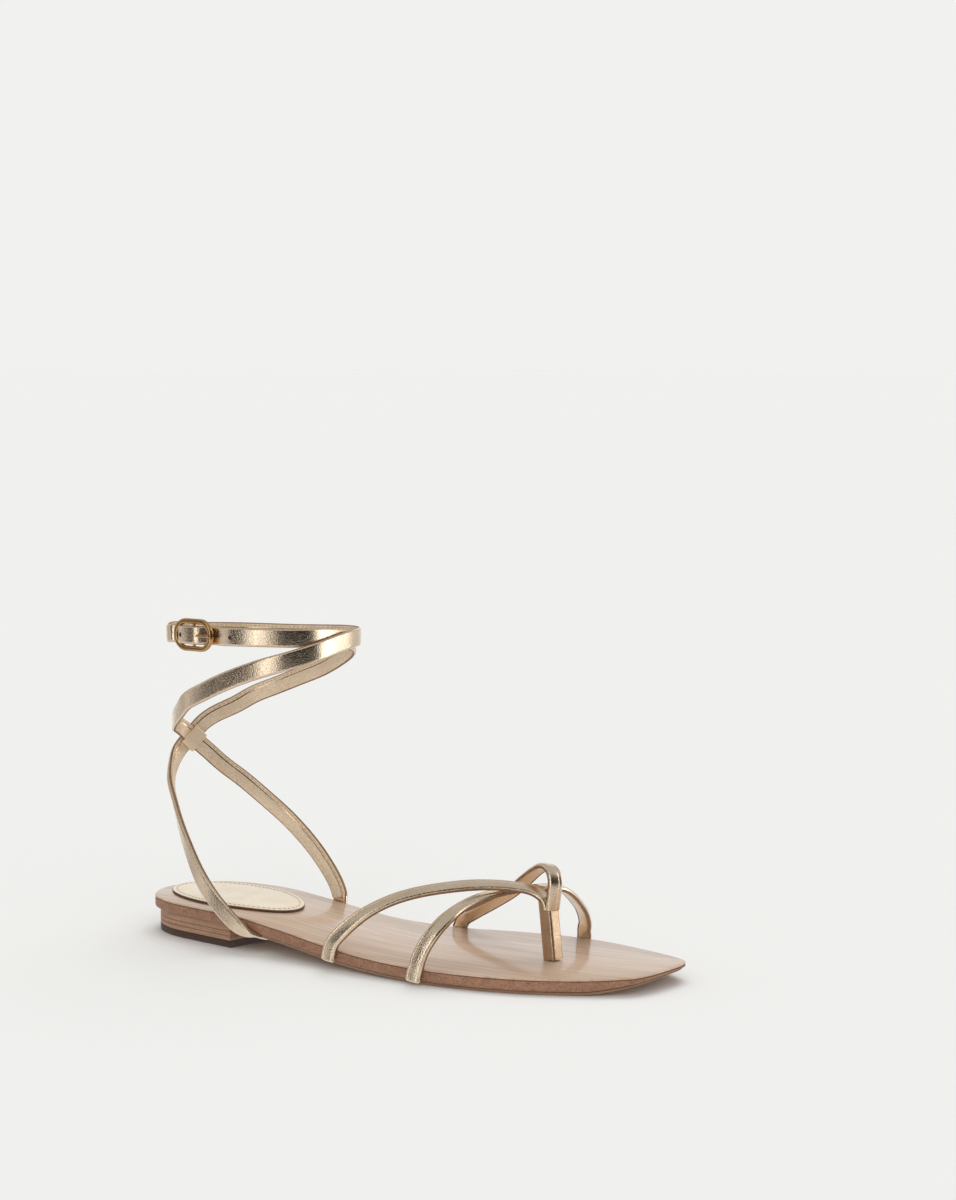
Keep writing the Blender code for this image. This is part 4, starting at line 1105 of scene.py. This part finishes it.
def build_ankle():
    bands = []
    for name, path, widens, thins, side, unlined, nodes in (
        ("wrap_outer", outer_path(), OUTER_WIDENS, None, 1.0, OUTER_UNLINED,
         ("ankle_straps",)),
        ("wrap_inner", inner_path(), INNER_WIDENS, LATERAL_THINS, -1.0, INNER_UNLINED, ()),
    ):
        rows = eased(resample(path, WRAP_STEP, BUCKLE_RUN), *EASE_ENDS)
        widths = wrap_widths(rows, widens)
        thicks = wrap_thicks(rows, thins)
        bands.append(sweep(name, rows, WRAP_SECTION, widths, thicks, GOLD,
                           nodes, cap_round=WRAP_CAP))
        line_strap(name, rows, widths, thicks, side, *unlined)
        edge_strips(name, rows, widths, thicks, WRAP_UNPAINTED)
    for step, low, high in PUNCHES:
        cut_hole(bands[1], PRONG_HOLE + step * HOLE_PITCH, low, high)
    # Dark plugs of painted shade in the open holes
    for k, step in enumerate(OPEN_HOLES):
        shade_hole("hole_%d" % (k + 1), PRONG_HOLE + step * HOLE_PITCH, bands)


def rod_rows(places):
    """Rows of a round rod from places of (along, outward, upward) at the buckle."""
    rows = np.array([buckle_row(*place) for place in places])
    rows[:, 3:6] = UPWARD
    return rows


def cut_hole(band, along, low, high):
    rows = rod_rows(((along, low), (along, high)))
    points, faces = tube(rows, round_section(ROD_SIDES), HOLE_DIAMETER, HOLE_DIAMETER)
    cutter = placed("cutter", mesh_of("cutter", metres(points), faces))
    modifier = band.modifiers.new("hole", "BOOLEAN")
    modifier.operation = "DIFFERENCE"
    modifier.solver = "EXACT"
    modifier.object = cutter
    depsgraph = bpy.context.evaluated_depsgraph_get()
    result = bpy.data.meshes.new_from_object(band.evaluated_get(depsgraph))
    band.modifiers.clear()
    old = band.data
    band.data = result
    bpy.data.meshes.remove(old)
    bpy.data.objects.remove(cutter, do_unlink=True)


def shade_hole(name, along, bands):
    """Painted shade in a punched hole: a dark ring and floor on the outermost strap there."""
    row = np.array(buckle_row(along, HOLE_LOOK))
    beside = Vector(metres(row[:3]).tolist()) + Vector((0.0, 0.0, HOLE_DIAMETER * MM))
    reach = []
    for band in bands:
        hit, place, _, _ = band.ray_cast(beside, Vector((-row[3:6]).tolist()))
        if hit:
            reach.append((place - beside).length / MM)
    face = HOLE_LOOK - min(reach)
    rows = rod_rows([(along, face + out) for out in HOLE_RING])
    sweep(name, rows, round_section(ROD_SIDES), HOLE_DIAMETER, HOLE_DIAMETER, HOLE_SHADE,
          smooth=50.0)


def build_keeper():
    outer = outer_path()
    run = arc_length(outer)
    middle = run[int(np.argmin(np.linalg.norm(outer[:, :3] - np.array(KEEPER_AT), axis=1)))]
    ends = (middle - 0.5 * KEEPER_LENGTH, middle + 0.5 * KEEPER_LENGTH)
    rows = at_lengths(outer, np.linspace(*ends, KEEPER_STATIONS))
    inside = 0.5 * SLING_WIDTH + KEEPER_GAP
    outside = inside + KEEPER_WALL
    floor = -0.5 * WRAP_THICK - KEEPER_GAP
    under = floor - KEEPER_WALL
    turns = np.linspace(0.0, 0.5 * math.pi, KEEPER_CORNER_POINTS)
    corner = [(outside - KEEPER_ROUND * (1.0 - math.cos(a)),
               under + KEEPER_ROUND * (1.0 - math.sin(a))) for a in turns]
    section = [(-u, v) for u, v in corner] + corner[::-1]
    section += [(outside, KEEPER_LIP), (inside, KEEPER_LIP), (inside, floor),
                (-inside, floor), (-inside, KEEPER_LIP), (-outside, KEEPER_LIP)]
    sweep("keeper_band", rows, section, 1.0, 1.0, SMOOTH_GOLD, ("keeper",),
          smooth=35.0)


def build_buckle():
    half_length = 0.5 * (BUCKLE_LENGTH - FRAME_BAR)
    half_height = 0.5 * (BUCKLE_HEIGHT - FRAME_BAR)
    side, top = half_height - FRAME_CORNER, half_length - FRAME_CORNER
    corners = np.array([
        (half_length, -side), (half_length, side), (top, half_height), (-top, half_height),
        (-half_length, side), (-half_length, -side), (-top, -half_height), (top, -half_height),
    ])
    loop = []
    for k, corner in enumerate(corners):
        toward = [corners[k - 1] - corner, corners[(k + 1) % len(corners)] - corner]
        ends = [corner + FRAME_ROUND * way / np.linalg.norm(way) for way in toward]
        for t in np.linspace(0.0, 1.0, FRAME_CORNER_POINTS):
            p = (1 - t) ** 2 * ends[0] + 2 * t * (1 - t) * corner + t ** 2 * ends[1]
            loop.append(buckle_row(p[0], 0.0, p[1]))
    sweep("buckle_octagon", loop, square_section(ROD_SIDES, FRAME_POWER), FRAME_BAR,
          BUCKLE_DEPTH, BRASS, ("buckle_frame",), closed=True, smooth=50.0)
    ends = np.array([buckle_row(0.0, -CENTRE_DROP, v) for v in (-half_height, half_height)])
    sweep("buckle_centre_bar", ends, round_section(ROD_SIDES), CENTRE_BAR, CENTRE_BAR, BRASS)
    rest = 0.5 * (BUCKLE_DEPTH + PRONG_BAR) + SEAT_GAP
    pivot = 0.5 * (CENTRE_BAR + PRONG_BAR) + SEAT_GAP
    places = [(pivot, PRONG_PIVOT_OUT), (0.5 * (pivot + PRONG_HOLE), PRONG_PIVOT_OUT)]
    places += [(PRONG_HOLE + along, out) for along, out in PRONG_CLIMB]
    places += [(PRONG_SETTLES_AT * half_length, PRONG_ARCH - PRONG_SETTLES),
               (half_length, rest), (half_length + PRONG_TIP, rest - PRONG_SETTLES)]
    sweep("prong", resample(spline(rod_rows(places)), PRONG_STEP), round_section(PRONG_SIDES),
          PRONG_BAR, PRONG_BAR, BRASS, ("buckle_prong",), cap_round=PRONG_CAP)


# Floor, light and camera

def to_shoe(vector):
    """Direction from the camera's level frame into the sandal's frame."""
    c, s = math.cos(SHOE_TURN), math.sin(SHOE_TURN)
    return Vector((c * vector[0] + s * vector[1], -s * vector[0] + c * vector[1], vector[2]))


def set_camera():
    place = to_shoe((-SHOE_AT[0], -SHOE_AT[1], CAMERA_HEIGHT)) + Vector(SHIFT)
    ahead = to_shoe((0.0, math.cos(CAMERA_PITCH), -math.sin(CAMERA_PITCH)))
    up = to_shoe((0.0, math.sin(CAMERA_PITCH), math.cos(CAMERA_PITCH)))
    right = ahead.cross(up)
    data = bpy.data.cameras.new("camera")
    data.sensor_width = SENSOR_WIDTH
    data.lens = SENSOR_WIDTH * FOCAL_PIXELS / IMAGE_HEIGHT
    data.clip_start = CLIP_START
    camera = placed("camera", data)
    matrix = Matrix((right, up, -ahead)).transposed().to_4x4()
    matrix.translation = place * MM
    camera.matrix_world = matrix
    bpy.context.scene.camera = camera


def set_floor():
    look = Look("floor", FLOOR, STAGE_ROUGHNESS)
    look.shader.inputs["Specular IOR Level"].default_value = 0.0
    corners = np.array([(-1.0, -1.0, 0.0), (1.0, -1.0, 0.0), (1.0, 1.0, 0.0), (-1.0, 1.0, 0.0)])
    mesh = mesh_of("floor", STAGE_REACH * corners, [(0, 1, 2, 3)])
    mesh.materials.append(look.mat)
    obj = placed("floor", mesh)
    obj.visible_glossy = False


def soft_sun(name, azimuth, elevation, strength, angle):
    """Broad light from above; azimuth 0 is the toe and -90 the lateral side."""
    a, e = math.radians(azimuth), math.radians(elevation)
    toward = Vector((math.cos(e) * math.cos(a), math.cos(e) * math.sin(a), math.sin(e)))
    data = bpy.data.lights.new(name, "SUN")
    data.energy = strength
    data.angle = math.radians(angle)
    obj = placed(name, data)
    obj.rotation_euler = toward.to_track_quat("Z", "Y").to_euler()
    obj.visible_glossy = False


def grey(value):
    return (value, value, value)


def set_world():
    """Pale backdrop, even fill for the shade, and softboxes and dark gaps round the gold."""
    world = bpy.data.worlds.new("studio")
    bpy.context.scene.world = world
    world.use_nodes = True
    n = Graph(world.node_tree)
    way = n.node("ShaderNodeTexCoord").outputs["Generated"]
    x, y, z = n.node("ShaderNodeSeparateXYZ", {"Vector": way}).outputs
    turn = n.node("ShaderNodeMath", {0: y, 1: x}, operation="ARCTAN2").outputs[0]
    round_about = n.node("ShaderNodeValToRGB", {"Fac": n.ramp(turn, -math.pi, math.pi)})
    stops = round_about.color_ramp
    stops.interpolation = "EASE"
    for k, (azimuth, value) in enumerate(STUDIO_ROUND):
        at = azimuth / 360.0 + 0.5
        stop = stops.elements[k] if k < 2 else stops.elements.new(at)
        stop.position = at
        stop.color = (*grey(value), 1.0)
    low = n.mix(n.ramp(z, *FLOOR_MEETS, kind="SMOOTHSTEP"), round_about.outputs["Color"],
                grey(STUDIO_FLOOR))
    room = n.mix(n.ramp(z, *TOP_MEETS, kind="SMOOTHSTEP"), low, grey(STUDIO_TOP))
    path = n.node("ShaderNodeLightPath").outputs
    lit = n.mix(path["Is Glossy Ray"], grey(FILL), room)
    seen = n.mix(path["Is Camera Ray"], lit, BACKDROP)
    n.put(seen, n.tree.nodes["Background"].inputs["Color"])


build_sole()
build_heel()
build_pad()
build_forefoot()
build_ankle()
build_keeper()
build_buckle()
set_camera()
set_floor()
set_world()
for name, values in SUNS.items():
    soft_sun(name, *values)
bpy.context.scene.view_settings.view_transform = "Standard"
